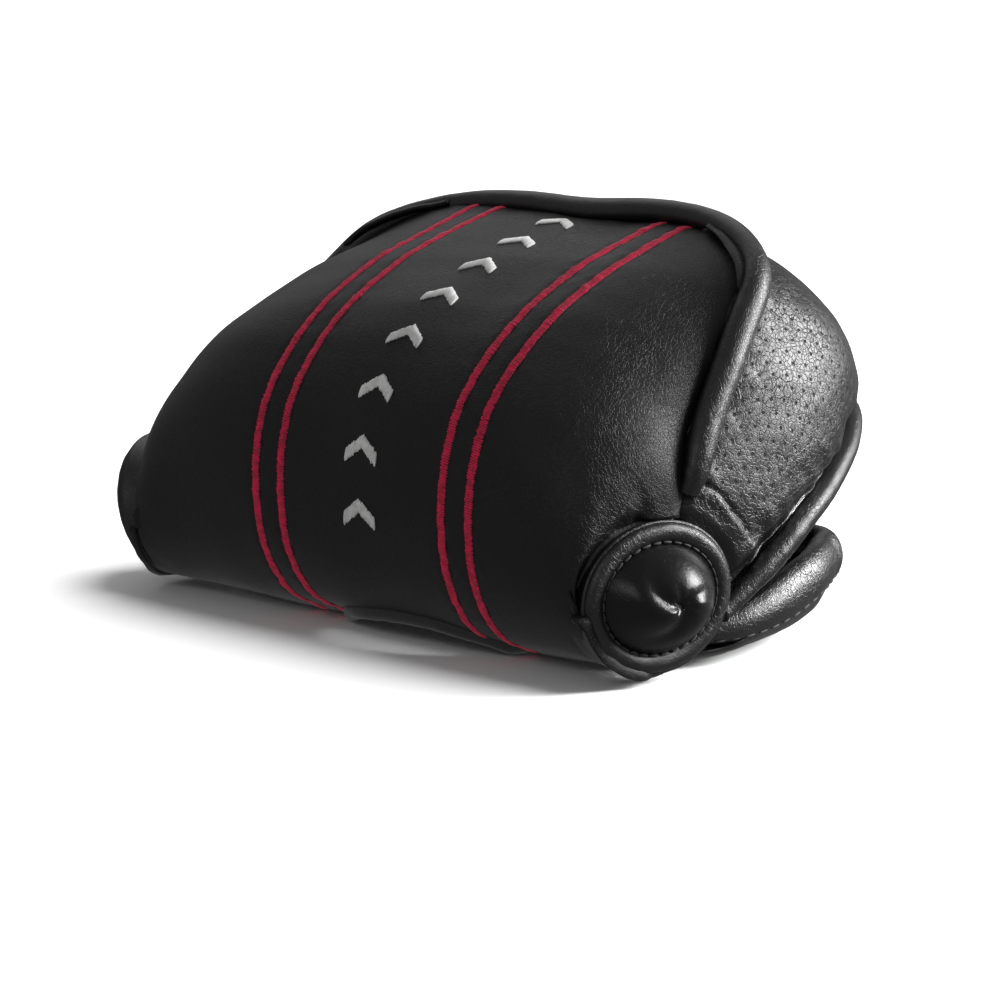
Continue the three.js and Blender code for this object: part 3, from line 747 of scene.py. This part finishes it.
# %% [markdown]
# ## Rear band
# The band is cut from perforated leather. Its holes are punched after the leather is laid out
# flat, so their places are worked out on a flat map: metres along the band's middle line and
# metres across it. Each hole also pulls the leather into a soft dimple, which is real shape.

# %% Rear band shape
BAND_COLUMNS, BAND_ROWS = 441, 121
band_station = np.linspace(0, BAND_END, BAND_COLUMNS)
walked = arc(band_form(band_station, np.full(BAND_COLUMNS, 0.5))[:, None], 0)[:, 0]
band_station = np.interp(np.linspace(0, walked[-1], BAND_COLUMNS), walked, band_station)
station = np.broadcast_to(band_station, (BAND_ROWS, BAND_COLUMNS))
band_down = np.broadcast_to(np.linspace(1, 0, BAND_ROWS)[:, None], (BAND_ROWS, BAND_COLUMNS))
points = band_form(station, band_down)
across_band = arc(points, 0)
along_band = np.broadcast_to(np.linspace(0, walked[-1], BAND_COLUMNS), across_band.shape)
across_map = across_band - across_band[BAND_ROWS // 2] + 200.0
from_ends = np.minimum(along_band, along_band[:, -1:] - along_band)
from_edges = np.minimum(across_band, across_band[-1:] - across_band)
edge_distance = np.minimum(from_ends, from_edges)
rows_at = across_map / ROW_PITCH
columns_at = along_band / HOLE_PITCH + 0.5 * np.mod(np.floor(rows_at), 2)
hole_reach = np.hypot((np.mod(columns_at, 1) - 0.5) * HOLE_PITCH, (np.mod(rows_at, 1) - 0.5) * ROW_PITCH)
dimple = np.exp(-((hole_reach / 0.5) ** 2)) * (edge_distance > HOLE_MARGIN)
print("band length", round(float(walked[-1])), "mm")

# %% [markdown]
# ### The crease beside the right ring
# Where the band is pulled round the right ring it has folded over itself once. The fold is a
# short curve, with a sharp valley on it and a soft bulge on the side of the ring.

# %% Rear band sheet
FOLD_LINE = through([
    (48.3, 23.9, 31.4), (49.1, 26.3, 30.8), (50.1, 28.9, 29.5), (51.2, 31.4, 26.7),
    (51.9, 33.4, 24.2), (52.2, 34.5, 22.9), (52.4, 35.2, 21.6)])(np.linspace(0, 6, 60))
near_ring = band_station < 2.0
fold_gap = np.linalg.norm(points[:, near_ring, None] - FOLD_LINE, axis=-1)
fold_reach = fold_gap.min(-1)
closest = fold_gap.argmin(-1)
fold_side = np.where(points[:, near_ring, 1] + points[:, near_ring, 2] * 0.6
                     < (FOLD_LINE[:, 1] + FOLD_LINE[:, 2] * 0.6)[closest], 1.0, -1.0)
fade = np.sin(np.clip(closest / 59, 0.03, 0.97) * math.pi) ** 0.5
fold = np.zeros_like(edge_distance)
fold[:, near_ring] = fade * (0.5 * np.exp(-(((fold_reach * fold_side - 1.5) / 1.4) ** 2))
                             - 0.62 * np.exp(-((fold_reach / 0.42) ** 2)))
pulled = ripple(points, 5.5, 12) * (1 - blend_in(edge_distance, 1, 10))
band_relief = (0.5 * blend_in(from_edges, 0, 6) - 1.2 * (1 - blend_in(from_edges, 0, 3.2))
               - 0.8 * (1 - blend_in(from_ends, 0, 2.6)) - 0.07 * dimple + 0.26 * pulled + fold
               + 0.2 * ripple(points, 21.0, 13) + 0.06 * ripple(points, 7.0, 14))
band_surface = raise_by(points, band_relief)
rear_band = lay_sheet("rear_band_leather", band_surface)
set_uv(rear_band, along_band, across_map)
margin = rear_band.data.attributes.new("edge_mm", "FLOAT", "POINT")
margin.data.foreach_set("value", edge_distance.astype(np.float32).ravel())
thicken(rear_band, LEATHER)
finish_piece(rear_band, band_leather, "band_leather", "rear_band")
print("rear band:", len(rear_band.data.polygons), "faces")

# %% Rear band lining and the fold at its rim
coarse_station = np.broadcast_to(np.linspace(0.45, BAND_END - 0.45, 25), (8, 25))
coarse_down = np.broadcast_to(np.linspace(1, 0.14, 8)[:, None], (8, 25))
coarse_band = band_form(coarse_station, coarse_down)
_, band_lining_points = coarse_lining(
    "rear_band_lining_cloth", coarse_band, LINING_DEPTH, "rear_band_lining")
RIM_POINTS = 201
rim_columns = np.linspace(12, BAND_COLUMNS - 13, RIM_POINTS).astype(int)
rim_outer, _ = resample(band_surface[0, rim_columns], RIM_POINTS)
rim_inner, _ = resample(band_lining_points[0], RIM_POINTS)
rim_down = unit(band_surface[0] - band_surface[4])[rim_columns]
fold_strip("rim_fold", rim_outer, rim_inner, 1.0, rim_down, flap_leather, "band_leather")
print("band lining and rim fold made")

# %% [markdown]
# ## Piping over the seam
# A fat piping covers the seam between the panel and the band, from ring to ring. Its cord lies in
# the valley between the two leathers, so its path is found from the nearest points on both sides:
# halfway between them, and out by as much as a round cord that touches both. It is then sunk by a
# millimetre on the left, where the seam is pulled tighter, and by almost nothing on the right.


# %% Piping
def nearby(line, cloud):
    """For each point of a line, the middle of the cloud's points nearest to it."""
    gaps = np.linalg.norm(line[:, None] - cloud[None], axis=-1)
    weight = np.exp(-(((gaps - gaps.min(1, keepdims=True)) / 0.9) ** 2))
    return weight @ cloud / weight.sum(1, keepdims=True)


PIPING_RADIUS, CORD_RADIUS, PIPING_POINTS = 2.35, 1.0, 421
ALLOWANCE = 2.2, 2.8
seam_station = np.linspace(0.12, BAND_END - 0.12, PIPING_POINTS)
seam_line = band_form(seam_station, np.zeros(PIPING_POINTS))
panel_side = (to_seam > ALLOWANCE[0]) & (to_seam < ALLOWANCE[1]) & (panel_station > 5.4)
band_side = (from_edges > ALLOWANCE[0]) & (from_edges < ALLOWANCE[1]) & (band_down < 0.5)
beside_panel = nearby(seam_line, panel_surface[panel_side])
beside_band = nearby(seam_line, band_surface[band_side])
away = unit(np.cross(np.gradient(seam_line, axis=0), beside_band - beside_panel))
away *= np.sign(np.sum(away * (seam_line - MIDDLE_OF_COVER), -1, keepdims=True))
half_gap = np.linalg.norm(beside_band - beside_panel, axis=-1) / 2
height = np.sqrt(np.maximum((PIPING_RADIUS + 0.4) ** 2 - half_gap**2, 0.8)) - 1.0
height += 0.9 * blend_in(seam_line[:, 0], -25, 22)
piping_path = smooth_path((beside_panel + beside_band) / 2 + away * height[:, None], 120)
piping_share = np.linspace(0, 1, PIPING_POINTS)
from_ring = np.minimum(piping_share, 1 - piping_share) * path_length(piping_path)
taper = 0.72 + 0.28 * blend_in(from_ring, 0, 16)
away = unit(smooth_path(away, 60))
piping = roll("top_piping", piping_path, away,
              PIPING_RADIUS * 1.12 * taper, PIPING_RADIUS * 0.94 * taper, 36,
              pucker=0.02 + 0.04 * (1 - blend_in(from_ring, 3, 20)), fold=1.8, seed=21)
finish_piece(piping, welt_leather, "welt_leather", "top_welt")
piping_cord = roll("top_piping_cord", piping_path, away, CORD_RADIUS, CORD_RADIUS, 12)
finish_piece(piping_cord, filler_cord, "core_cord", "top_welt_cord")
print("piping", round(path_length(piping_path)), "mm long")

# %% [markdown]
# ## Welt under the band
# The lower rim of the band is finished with a second, thinner roll. Near the rings it is pulled
# round the bend and puckers into fine folds across its length, and its ends reach in to the rings.

# %% Lower welt
WELT_RADIUS, WELT_CORD_RADIUS, WELT_POINTS, WELT_REACH = 2.15, 0.8, 401, 2.6
rim_station = np.linspace(0.1, BAND_END - 0.1, WELT_POINTS)
rim_line = band_form(rim_station, np.ones(WELT_POINTS))
falling = unit(rim_line - band_form(rim_station, np.full(WELT_POINTS, 0.96)))
inside = -unit(rim_line - MIDDLE_OF_COVER)
welt_path = smooth_path(rim_line + falling * 2.9 + inside * 0.3, 12)
right_end = welt_path[0] + unit(welt_path[0] - welt_path[12]) * WELT_REACH
left_end = welt_path[-1] + unit(welt_path[-1] - welt_path[-13]) * WELT_REACH
welt_path, _ = resample(np.concatenate([right_end[None], welt_path, left_end[None]]), WELT_POINTS)
welt_share = np.linspace(0, 1, WELT_POINTS)
from_ring = np.minimum(welt_share, 1 - welt_share) * path_length(welt_path)
pull = 1 - blend_in(from_ring, 8, 34)
welt_wide = WELT_RADIUS * (0.7 + 0.3 * blend_in(from_ring, 0, 14))
lower_welt = roll("lower_welt_roll", welt_path, -inside, welt_wide, welt_wide * 0.95, 32,
                  pucker=0.02 + 0.07 * pull, fold=1.1, seed=31)
finish_piece(lower_welt, welt_leather, "welt_leather", "lower_welt")
welt_cord = roll("lower_welt_cord_filler", welt_path, -inside, WELT_CORD_RADIUS, WELT_CORD_RADIUS, 12)
finish_piece(welt_cord, filler_cord, "core_cord", "lower_welt_cord")
print("lower welt", round(path_length(welt_path)), "mm long")

# %% [markdown]
# ## Stitches
# A stitch is a short bar of thread, rounded at both ends. One small sphere is stretched into that
# bar, and copies of its mesh are set down side by side along a line: each is turned to its own
# direction and sunk a little into the leather.


# %% Stitch helper
deselect()
bpy.ops.mesh.primitive_uv_sphere_add(segments=8, ring_count=6, radius=1)
template = bpy.context.object
bpy.ops.object.mode_set(mode="EDIT")
bpy.ops.mesh.select_all(action="SELECT")
bpy.ops.transform.rotate(value=math.pi / 2, orient_axis="Y", center_override=(0, 0, 0))
bpy.ops.object.mode_set(mode="OBJECT")
BAR_POINTS = np.array([v.co for v in template.data.vertices])
BAR_POINTS[:, 0] = np.sign(BAR_POINTS[:, 0]) * np.abs(BAR_POINTS[:, 0]) ** 0.7
BAR_FACES = [tuple(face.vertices) for face in template.data.polygons]
bpy.data.objects.remove(template)


def stitches(name, centres, along, out, length, thickness, tall):
    """Copies of the bar: its length lies along a direction and its height points out."""
    along = unit(along - out * np.sum(along * out, -1, keepdims=True))
    beside = np.cross(out, along)
    length = np.broadcast_to(np.asarray(length, float), len(centres))[:, None, None]
    bars = (centres[:, None] + along[:, None] * BAR_POINTS[:, :1] * length / 2
            + beside[:, None] * BAR_POINTS[:, 1:2] * thickness / 2
            + out[:, None] * BAR_POINTS[:, 2:] * tall / 2)
    count = len(BAR_POINTS)
    faces = [tuple(v + k * count for v in face) for k in range(len(centres)) for face in BAR_FACES]
    mesh = bpy.data.meshes.new(name)
    mesh.from_pydata(to_frame(bars.reshape(-1, 3)).tolist(), [], faces)
    piece = bpy.data.objects.new(name, mesh)
    bpy.context.collection.objects.link(piece)
    only(piece)
    bpy.ops.object.shade_smooth()
    return piece


print("one stitch:", len(BAR_POINTS), "points")

# %% [markdown]
# ## Embroidered stripes
# Each stripe is satin stitch: about five threads for every two millimetres, laid side by side
# across the stripe at a slight angle. The line it follows is drawn on the finished panel, so the
# threads lie on the leather wherever it puffs or sinks.


# %% Stripes
def panel_line(x, rows=None):
    """The line at one x along the panel, from the hem to the seam, with the surface's normals."""
    line, normals = [], []
    for i in range(rows or len(panel_surface)):
        place = np.interp(x, panel_surface[i, :, 0], np.arange(panel_surface.shape[1]))
        j, f = int(place), place - int(place)
        line.append(panel_surface[i, j] * (1 - f) + panel_surface[i, j + 1] * f)
        normals.append(panel_normals[i, j] * (1 - f) + panel_normals[i, j + 1] * f)
    return np.array(line), np.array(normals)


def spaced(line, normals, pitch):
    """Points and normals at an even pitch along a line."""
    length = arc(line[:, None], 0)[:, 0]
    marks = np.arange(0.3, length[-1] - 0.3, pitch)
    places, out = (np.stack([np.interp(marks, length, values[:, k]) for k in range(3)], -1)
                   for values in (line, normals))
    return places, unit(out), marks


STRIPE_WIDTH, THREAD_PITCH, STRIPE_ROWS = 1.75, 0.4, 197
stripe_nodes = ["stripe_left_outer", "stripe_left_inner", "stripe_right_inner", "stripe_right_outer"]
for x, node in zip(STRIPE_X, stripe_nodes):
    line, normals = panel_line(x, STRIPE_ROWS)
    centres, out, marks = spaced(line, normals, THREAD_PITCH)
    along = unit(np.gradient(centres, axis=0))
    across = np.cross(out, along)
    random = np.random.default_rng(int(x * 10) + 500)
    lean = 0.2 + random.normal(0, 0.05, (len(centres), 1))
    width = STRIPE_WIDTH * (1 + random.normal(0, 0.045, len(centres)))
    proud = 0.1 + 0.05 * np.sin(marks * 1.3)[:, None] + random.normal(0, 0.02, (len(centres), 1))
    lifted = centres + out * proud
    lifted = lifted + across * random.normal(0, 0.04, (len(centres), 1))
    stripe = stitches(node + "_threads", lifted, across + along * lean, out, width, 0.47, 0.62)
    finish_piece(stripe, red_thread, "red_thread", node)
print("four stripes of", len(centres), "stitches each")

# %% [markdown]
# ## Embroidered marks
# Eight small chevrons run down the middle in white satin stitch. In each arm the threads run along
# the panel and stand side by side, so the edges of the chevron are made by the thread ends.

# %% Marks
MARK_LENGTHS = np.linspace(19, 93, 8)
MARK_HALF, MARK_STROKE, MARK_RISE = 3.4, 2.5, 2.6
middle, _ = panel_line(0.0)
middle_length = arc(middle[:, None], 0)[:, 0]
mark_x = np.arange(-MARK_HALF + 0.2, MARK_HALF, 0.36)
lines = [panel_line(x) for x in mark_x]
random = np.random.default_rng(90)
for k, length in enumerate(MARK_LENGTHS):
    centres, out, along = [], [], []
    for x, (line, normals) in zip(mark_x, lines):
        here = length + MARK_RISE * (1 - abs(x) / MARK_HALF)
        row = np.interp([here, here + 0.5], middle_length, np.arange(len(line)))
        spot, ahead = (np.array([np.interp(r, np.arange(len(line)), line[:, c]) for c in range(3)])
                       for r in row)
        centres.append(spot)
        along.append(ahead - spot)
        out.append(normals[int(row[0])])
    centres, out, along = (np.array(v) for v in (centres, out, along))
    out, along = unit(out), unit(along)
    length_each = MARK_STROKE * (1 + random.normal(0, 0.05, len(centres)))
    lean = random.normal(0, 0.05, (len(centres), 1))
    mark = stitches(f"mark_{k + 1}_threads", centres + out * 0.1, along + np.cross(out, along) * lean, out,
                    length_each, 0.43, 0.66)
    finish_piece(mark, white_thread, "white_thread", f"mark_{k + 1}")
print("eight marks of", len(centres), "stitches each")

# %% [markdown]
# ## End rings and caps
# Each end is closed with a round cap. A flat rounded welt goes round it, the cap is stitched in
# along the welt's inner edge, and the leather is gathered to a pinch at the top of the dome. A cap
# is a round sheet whose rows are rings, from the pinch to the rim; the first and last columns meet
# and are welded. Each ring stands on a short collar that reaches into the panel, and the left ring
# stands prouder, most at its top.


# %% Ring welts
def lean_out(side, angle, share=1.0):
    """How much prouder the left ring stands, most at its top."""
    angle = np.asarray(angle, float)
    return np.zeros_like(angle) if side > 0 else 2.4 + 3.0 * share * np.sin(angle)


RING_WELT, RING_STITCHES = 1.6, 34
STITCH_INWARD, STITCH_OUT = 3.55, 1.7
FULL_TURN = np.linspace(0, 2 * math.pi, 181)
for side, word in ((1, "right"), (-1, "left")):
    direction = ring_axis(side)
    turn = FULL_TURN if side > 0 else FULL_TURN[::-1]
    proud = lean_out(side, turn)
    path = ring_point(side, turn, RING_WELT + 0.55, 0.95 + proud)
    welt = roll(f"{word}_ring_welt", path, np.broadcast_to(direction, path.shape), RING_WELT, 1.25, 28,
                pucker=0.05, fold=3.0, seed=40 + side)
    finish_piece(welt, welt_leather, "welt_leather", f"ring_welt_{word}")
    share = np.linspace(0, 1, 9)[:, None]
    inward = 0.4 + 0.5 * np.sin(share * math.pi) * np.ones_like(turn)
    out = -3.6 + share * (4.6 + proud)
    collar_points = ring_point(side, np.broadcast_to(turn, inward.shape), inward, out)
    collar = lay_sheet(f"{word}_ring_collar", collar_points)
    apply_modifier(collar, "SOLIDIFY", thickness=0.6 * MM, offset=0, use_rim=True)
    weld(collar, fill=False)
    finish_piece(collar, welt_leather, "welt_leather")
    marks = np.arange(RING_STITCHES) * (2 * math.pi / RING_STITCHES)
    out = STITCH_OUT + lean_out(side, marks)
    groove = ring_point(side, marks, STITCH_INWARD, out)
    step = ring_point(side, marks + 0.05, STITCH_INWARD, out) - groove
    thread_bars = stitches(f"{word}_ring_stitches", groove, step, np.broadcast_to(direction, groove.shape),
                           1.7, 0.42, 0.6)
    finish_piece(thread_bars, black_thread, "welt_leather")
print("two ring welts with", RING_STITCHES, "stitches each")

# %% End caps
CAP_RISE, CAP_INWARD, CAP_BASE = 7.4, 3.2, 0.7
CAP_DENTS = (2.35, 0.34, 0.7), (4.3, 0.3, 0.45), (0.2, 0.32, 0.3)


def cap_points(side, inward, base, rise, rings, columns, pinch=0.0):
    """A dome from its pinch to its rim, with dents between the gathers if it is pinched."""
    share = np.linspace(0, 1, rings)[:, None] * np.ones((1, columns))
    turn = np.broadcast_to(np.linspace(0, 2 * math.pi, columns)[::side], share.shape)
    out = base + rise * (1 - share**2.4) + lean_out(side, turn, share)
    if pinch:
        swirl = turn + 1.3 * share
        fade = share * (1 - share) * 4
        out = out - pinch * 1.2 * np.exp(-((share / 0.15) ** 2))
        out = out + pinch * fade * (0.42 * np.sin(2 * swirl + 0.4) + 0.22 * np.sin(3 * swirl + 2.0))
        for angle, width, depth in CAP_DENTS:
            offset = np.mod(swirl - angle - 0.8 + math.pi, 2 * math.pi) - math.pi
            run = blend_in(share, 0.02, 0.3) * (1 - blend_in(share, 0.35, 0.9))
            out = out - pinch * depth * run * np.exp(-((offset / width) ** 2))
        out = out + 0.07 * pinch * np.sin(9 * turn + 4 * share) * (1 - blend_in(share, 0.12, 0.5))
        out = out + 0.05 * pinch * np.sin(RING_STITCHES * turn) * blend_in(share, 0.85, 1)
    middle = np.array([side * RING_X[side], RING_Y, RING_Z])
    rim = ring_point(side, turn, inward)
    return middle + (rim - middle) * share[..., None] + ring_axis(side) * out[..., None]


for side, word in ((1, "right"), (-1, "left")):
    dome = cap_points(side, CAP_INWARD, CAP_BASE, CAP_RISE, 61, 145, 1.0)
    cap = lay_sheet(f"{word}_cap_leather", dome[::-1])
    weld(cap, fill=False)
    thicken(cap, 1.0)
    finish_piece(cap, cap_leather, "cap_leather", f"end_cap_{word}")
    inner = lay_sheet(f"{word}_cap_lining_cloth", cap_points(side, 5.5, 0.4, 4.4, 13, 33)[::-1])
    weld(inner, fill=False)
    thicken(inner, 0.8)
    finish_piece(inner, lining_cloth, "lining", f"end_cap_lining_{word}")
print("two caps and their linings")

# %% [markdown]
# ## Bound edge of the notch
# The hem rises over the shaft in a shallow notch, and its raw edge is bound with a narrow roll that
# is fattest where it turns at the two ends.

# %% Notch binding
NOTCH_POINTS, NOTCH_ROLL = 141, 1.65
hem = panel_surface[0]
in_notch = np.abs(hem[:, 0] - NOTCH_X) < NOTCH_HALF + 1.2
hem_down = unit(panel_surface[0] - panel_surface[3])[in_notch]
notch_path, _ = resample(hem[in_notch] + hem_down * 0.9 - panel_normals[0][in_notch] * 0.5, NOTCH_POINTS)
notch_out, _ = resample(hem_down - panel_normals[0][in_notch] * 0.01, NOTCH_POINTS)
ends = np.abs(np.linspace(-1, 1, NOTCH_POINTS))
notch_wide = NOTCH_ROLL - 0.7 * blend_in(ends, 0.93, 1.0)
notch_wide += 0.3 * np.exp(-(((ends - 0.86) / 0.07) ** 2))
notch_path = smooth_path(notch_path, 6)
notch_path[:, 2] = np.maximum(notch_path[:, 2], notch_wide + 0.35)
notch_roll = roll("notch_binding_roll", notch_path, unit(notch_out), notch_wide, notch_wide, 24,
                  pucker=0.06, fold=2.6, seed=51)
finish_piece(notch_roll, welt_leather, "welt_leather", "notch_binding")
print("notch binding made")

# %% [markdown]
# ## Closing flap
# The flap is a padded tray that closes the cover from below. Its bottom is flat, so that the cover
# rests on it, and it turns up towards the sides and the rear into a fat rounded edge. Where the
# outer leather meets the rolled edge there is a stitched crease.


# %% Flap tray
FLAP_FRONT, FLAP_REAR, FLAP_FLAT, FLAP_TALL = 24.2, 72.0, 0.15, 12.0
FLAP_STATIONS_Y = np.array([24.2, 29, 33, 36, 44, 54, 62, 68, 72])
FLAP_HALF = np.array([43.5, 48, 50.2, 51.6, 52.8, 52.6, 50.6, 46.8, 41.5])
FLAP_RISE = np.array([2.4, 2.85, 3.2, 4.1, 6.7, 9.6, 10.9, 11.6, FLAP_TALL])
flap_curve = through(np.stack([FLAP_STATIONS_Y, FLAP_HALF, FLAP_RISE], -1))
flap_table = flap_curve(np.linspace(0, 8, 400))


def flap_half(y):
    return np.interp(y, flap_table[:, 0], flap_table[:, 1])


def flap_rise(y):
    return np.interp(y, flap_table[:, 0], flap_table[:, 2])


def flap_points(inset, base, rows, columns):
    """The tray at an inset from its outline and a height above the floor."""
    across = close_at_ends(rows, columns)
    share = np.broadcast_to(np.sin(np.linspace(0, 1, rows) * math.pi / 2)[:, None], (rows, columns))
    outline_y = FLAP_FRONT + (FLAP_REAR - FLAP_FRONT) * share
    y = FLAP_FRONT + (FLAP_REAR - inset - FLAP_FRONT) * share
    edge = 1 - (1 - np.abs(across) ** 7) * (1 - share**9)
    past = np.maximum(0, edge - FLAP_FLAT) / (1 - FLAP_FLAT)
    lift = 1 - np.sqrt(np.maximum(0, 1 - past))
    rise = np.maximum(flap_rise(outline_y) - base, 0.2)
    return np.stack([(flap_half(outline_y) - inset) * across, y, base + rise * lift], -1), lift


tray, tray_lift = flap_points(0.0, 0.0, 121, 241)
tray = tray[::-1]
waves = 0.25 * ripple(tray, 17.0, 61) + 0.06 * ripple(tray, 5.0, 62)
tray = raise_by(tray, waves * blend_in(tray_lift[::-1], 0.03, 0.4))
flap_leather_sheet = lay_sheet("flap_leather", tray)
thicken(flap_leather_sheet, LEATHER)
finish_piece(flap_leather_sheet, flap_leather, "band_leather", "flap_outer", body="flap")
flap_inside, _ = flap_points(5.6, 4.2, 61, 121)
flap_cloth = lay_sheet("flap_lining_cloth", flap_inside[::-1])
thicken(flap_cloth, -0.9)
finish_piece(flap_cloth, lining_cloth, "lining", "flap_lining", body="flap")
print("flap tray and lining, lowest point", round(float(tray[..., 2].min()), 3), "mm")

# %% Rolled edge of the flap
ROLL_WIDE, ROLL_TOP = 2.95, 5.4
loop = []
for y in (24.2, 30, 38, 47, 56, 64, 69.2):
    tall = 2.3 + 2.1 * blend_in(y, 26, 50)
    loop.append((flap_half(y) - ROLL_WIDE + 0.6, y, flap_rise(y) + ROLL_TOP - tall, ROLL_WIDE, tall))
rear_tall = 4.4
rear_height = FLAP_TALL + ROLL_TOP - rear_tall
rear = [(x, FLAP_REAR - 2.5, rear_height, ROLL_WIDE, rear_tall) for x in (24, 12, 0, -12, -24)]
front = [(x, 21.5, 2.85, 2.35, 2.3) for x in (-37, -18, 0, 18, 37)]
loop = loop + rear + [(-x, *rest) for x, *rest in loop[::-1]] + front
count = len(loop)
wrapped = through([loop[-2], loop[-1], *loop, loop[0], loop[1], loop[2]])
edge_loop = wrapped(np.linspace(2, 2 + count, 641))
edge_path, edge_wide, edge_tall = edge_loop[:, :3], edge_loop[:, 3], edge_loop[:, 4]
edge_path[-1] = edge_path[0]
upwards = np.broadcast_to(np.array([0.0, 0.0, 1.0]), edge_path.shape)
edge_roll = roll("flap_rolled_edge", edge_path, upwards, edge_wide, edge_tall, 44,
                 pucker=0.07, fold=4.0, seed=71)
finish_piece(edge_roll, flap_leather, "welt_leather", "flap_binding", body="flap")
print("rolled edge", round(path_length(edge_path)), "mm round")

# %% [markdown]
# ## Topstitching of the flap
# A row of black stitches runs in the crease under the rolled edge, all the way round the sides and
# the rear. Each stitch sinks into the leather, so only its upper half shows.

# %% Flap stitches
CREASE_ANGLE = math.radians(-38)
crease_in, crease_out = (section(edge_path, upwards, edge_wide * k, edge_tall * k, a)
                         for k, a in ((0.99, CREASE_ANGLE), (0.99, math.pi - CREASE_ANGLE)))
middle_of_flap = np.array([0.0, 46.0, 8.0])
reach_in, reach_out = (np.linalg.norm(c - middle_of_flap, axis=1) for c in (crease_in, crease_out))
crease = np.where((reach_in > reach_out)[:, None], crease_in, crease_out)
on_sides = edge_path[:, 1] > 30
crease_line = crease[on_sides]
crease_normal = unit(crease - edge_path)[on_sides]
centres, out, _ = spaced(crease_line, crease_normal, 3.0)
flap_threads = stitches("flap_topstitching", centres, np.gradient(centres, axis=0), out, 2.1, 0.42, 0.5)
finish_piece(flap_threads, black_thread, "welt_leather", body="flap")
print("flap topstitching:", len(centres), "stitches")

# %% [markdown]
# ## The strap that is the hinge
# The flap hangs on a soft strip of leather that is sewn inside the rear of the band. It is one sheet, laid in
# its rest shape, and it is not attached to either body.

# %% Hinge strap
HINGE_HALF = 19.0
STRAP_ROWS, STRAP_COLUMNS = 61, 41
strap_line = through([(0, y, z) for y, z in (
    (80.1, 49), (80.7, 43), (81.4, 38), (81.5, 34.6), (77, 27.4), (70.9, 17.6))])
along = strap_line(np.linspace(0, 5, STRAP_ROWS))
strap_points = np.repeat(along[:, None], STRAP_COLUMNS, axis=1)
strap_points[..., 0] = np.linspace(-HINGE_HALF, HINGE_HALF, STRAP_COLUMNS)
strap_points = raise_by(strap_points, 0.12 * ripple(strap_points, 9.0, 81))
strap = lay_sheet("hinge_strap_leather", strap_points)
apply_modifier(strap, "SOLIDIFY", thickness=1.5 * MM, offset=0, use_rim=True)
wear(strap, flap_leather)
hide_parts("hinge_strap", "hinge_facing")
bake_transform(strap)
print("hinge strap", round(path_length(along)), "mm long")

# %% [markdown]
# ## Nodes that stay
# Foam and magnets are closed in by the leather. They keep their own shapes and only need their
# finish.

# %% Hidden layers
hidden_finish = {"foam": foam_cells, "magnet": plated}
for name, node in frame["nodes"].items():
    for word, finish in hidden_finish.items():
        if word in name:
            wear(node, finish)
print("foam and magnets finished")

# %% [markdown]
# ## Light and floor
# A large softbox stands to the right behind the cover and draws the long highlights on its rounded
# right side. A weaker one above and behind on the left greys the top, and a weak one in front fills
# the shadows. The room adds a little light from all round. The pale floor has a sun of its own,
# linked only to it, so that it can be bright while the leather stays black. The leather neither
# mirrors the floor nor takes light from it, so the ends of the cover keep their dark lower halves.


# %% Light, floor and world
LIT_PLACE = Vector((0.0, 0.0, 0.035))
ROOM_LIGHT, SUN_LIGHT, FLOOR_SIZE = 0.24, 3.6, 40


def softbox(name, place, size, power):
    data = bpy.data.lights.new(name, "AREA")
    data.shape = "RECTANGLE"
    data.size, data.size_y = size
    data.energy = power
    light = bpy.data.objects.new(name, data)
    bpy.context.collection.objects.link(light)
    look = LIT_PLACE - Vector(place)
    light.matrix_world = Matrix.Translation(place) @ look.to_track_quat("-Z", "Y").to_matrix().to_4x4()


softbox("right_rear_softbox", (0.68, 0.82, 0.46), (0.42, 0.55), 23.0)
softbox("top_left_softbox", (-0.6, 0.55, 0.75), (0.9, 0.9), 1.5)
softbox("front_fill", (0.5, -1.3, 0.9), (0.8, 0.5), 2.4)
world = bpy.data.worlds.new("studio")
bpy.context.scene.world = world
world.use_nodes = True
world.node_tree.nodes["Background"].inputs[0].default_value = (1, 1, 1, 1)
world.node_tree.nodes["Background"].inputs[1].default_value = ROOM_LIGHT
deselect()
bpy.ops.mesh.primitive_plane_add(size=FLOOR_SIZE, location=(0, 0, 0))
floor = bpy.context.object
floor.name = "floor"
floor_finish = Finish("pale floor", (0.9, 0.9, 0.9), 1.0, Specular_IOR_Level=0.0)
soft_patches = floor_finish.noise(floor_finish.place(), 3.0)
floor_finish.feed("Base Color", floor_finish.tint(soft_patches, (0.885, 0.885, 0.885), (0.915, 0.915, 0.915)))
wear(floor, floor_finish)
floor.visible_glossy = False
floor.visible_diffuse = False
floor_only = bpy.data.collections.new("floor_only")
floor_only.objects.link(floor)
sun_data = bpy.data.lights.new("floor_sun", "SUN")
sun_data.energy = SUN_LIGHT
sun_data.angle = math.radians(40)
floor_sun = bpy.data.objects.new("floor_sun", sun_data)
floor_sun.rotation_euler = (math.radians(-15), math.radians(20), 0)
floor_sun.light_linking.receiver_collection = floor_only
bpy.context.collection.objects.link(floor_sun)
bpy.context.scene.view_settings.view_transform = "Standard"
print("three softboxes, a floor sun and a pale floor")

# %% [markdown]
# ## End
# The last cell only prints that the scene is built.

# %% Finish
print("scene built")
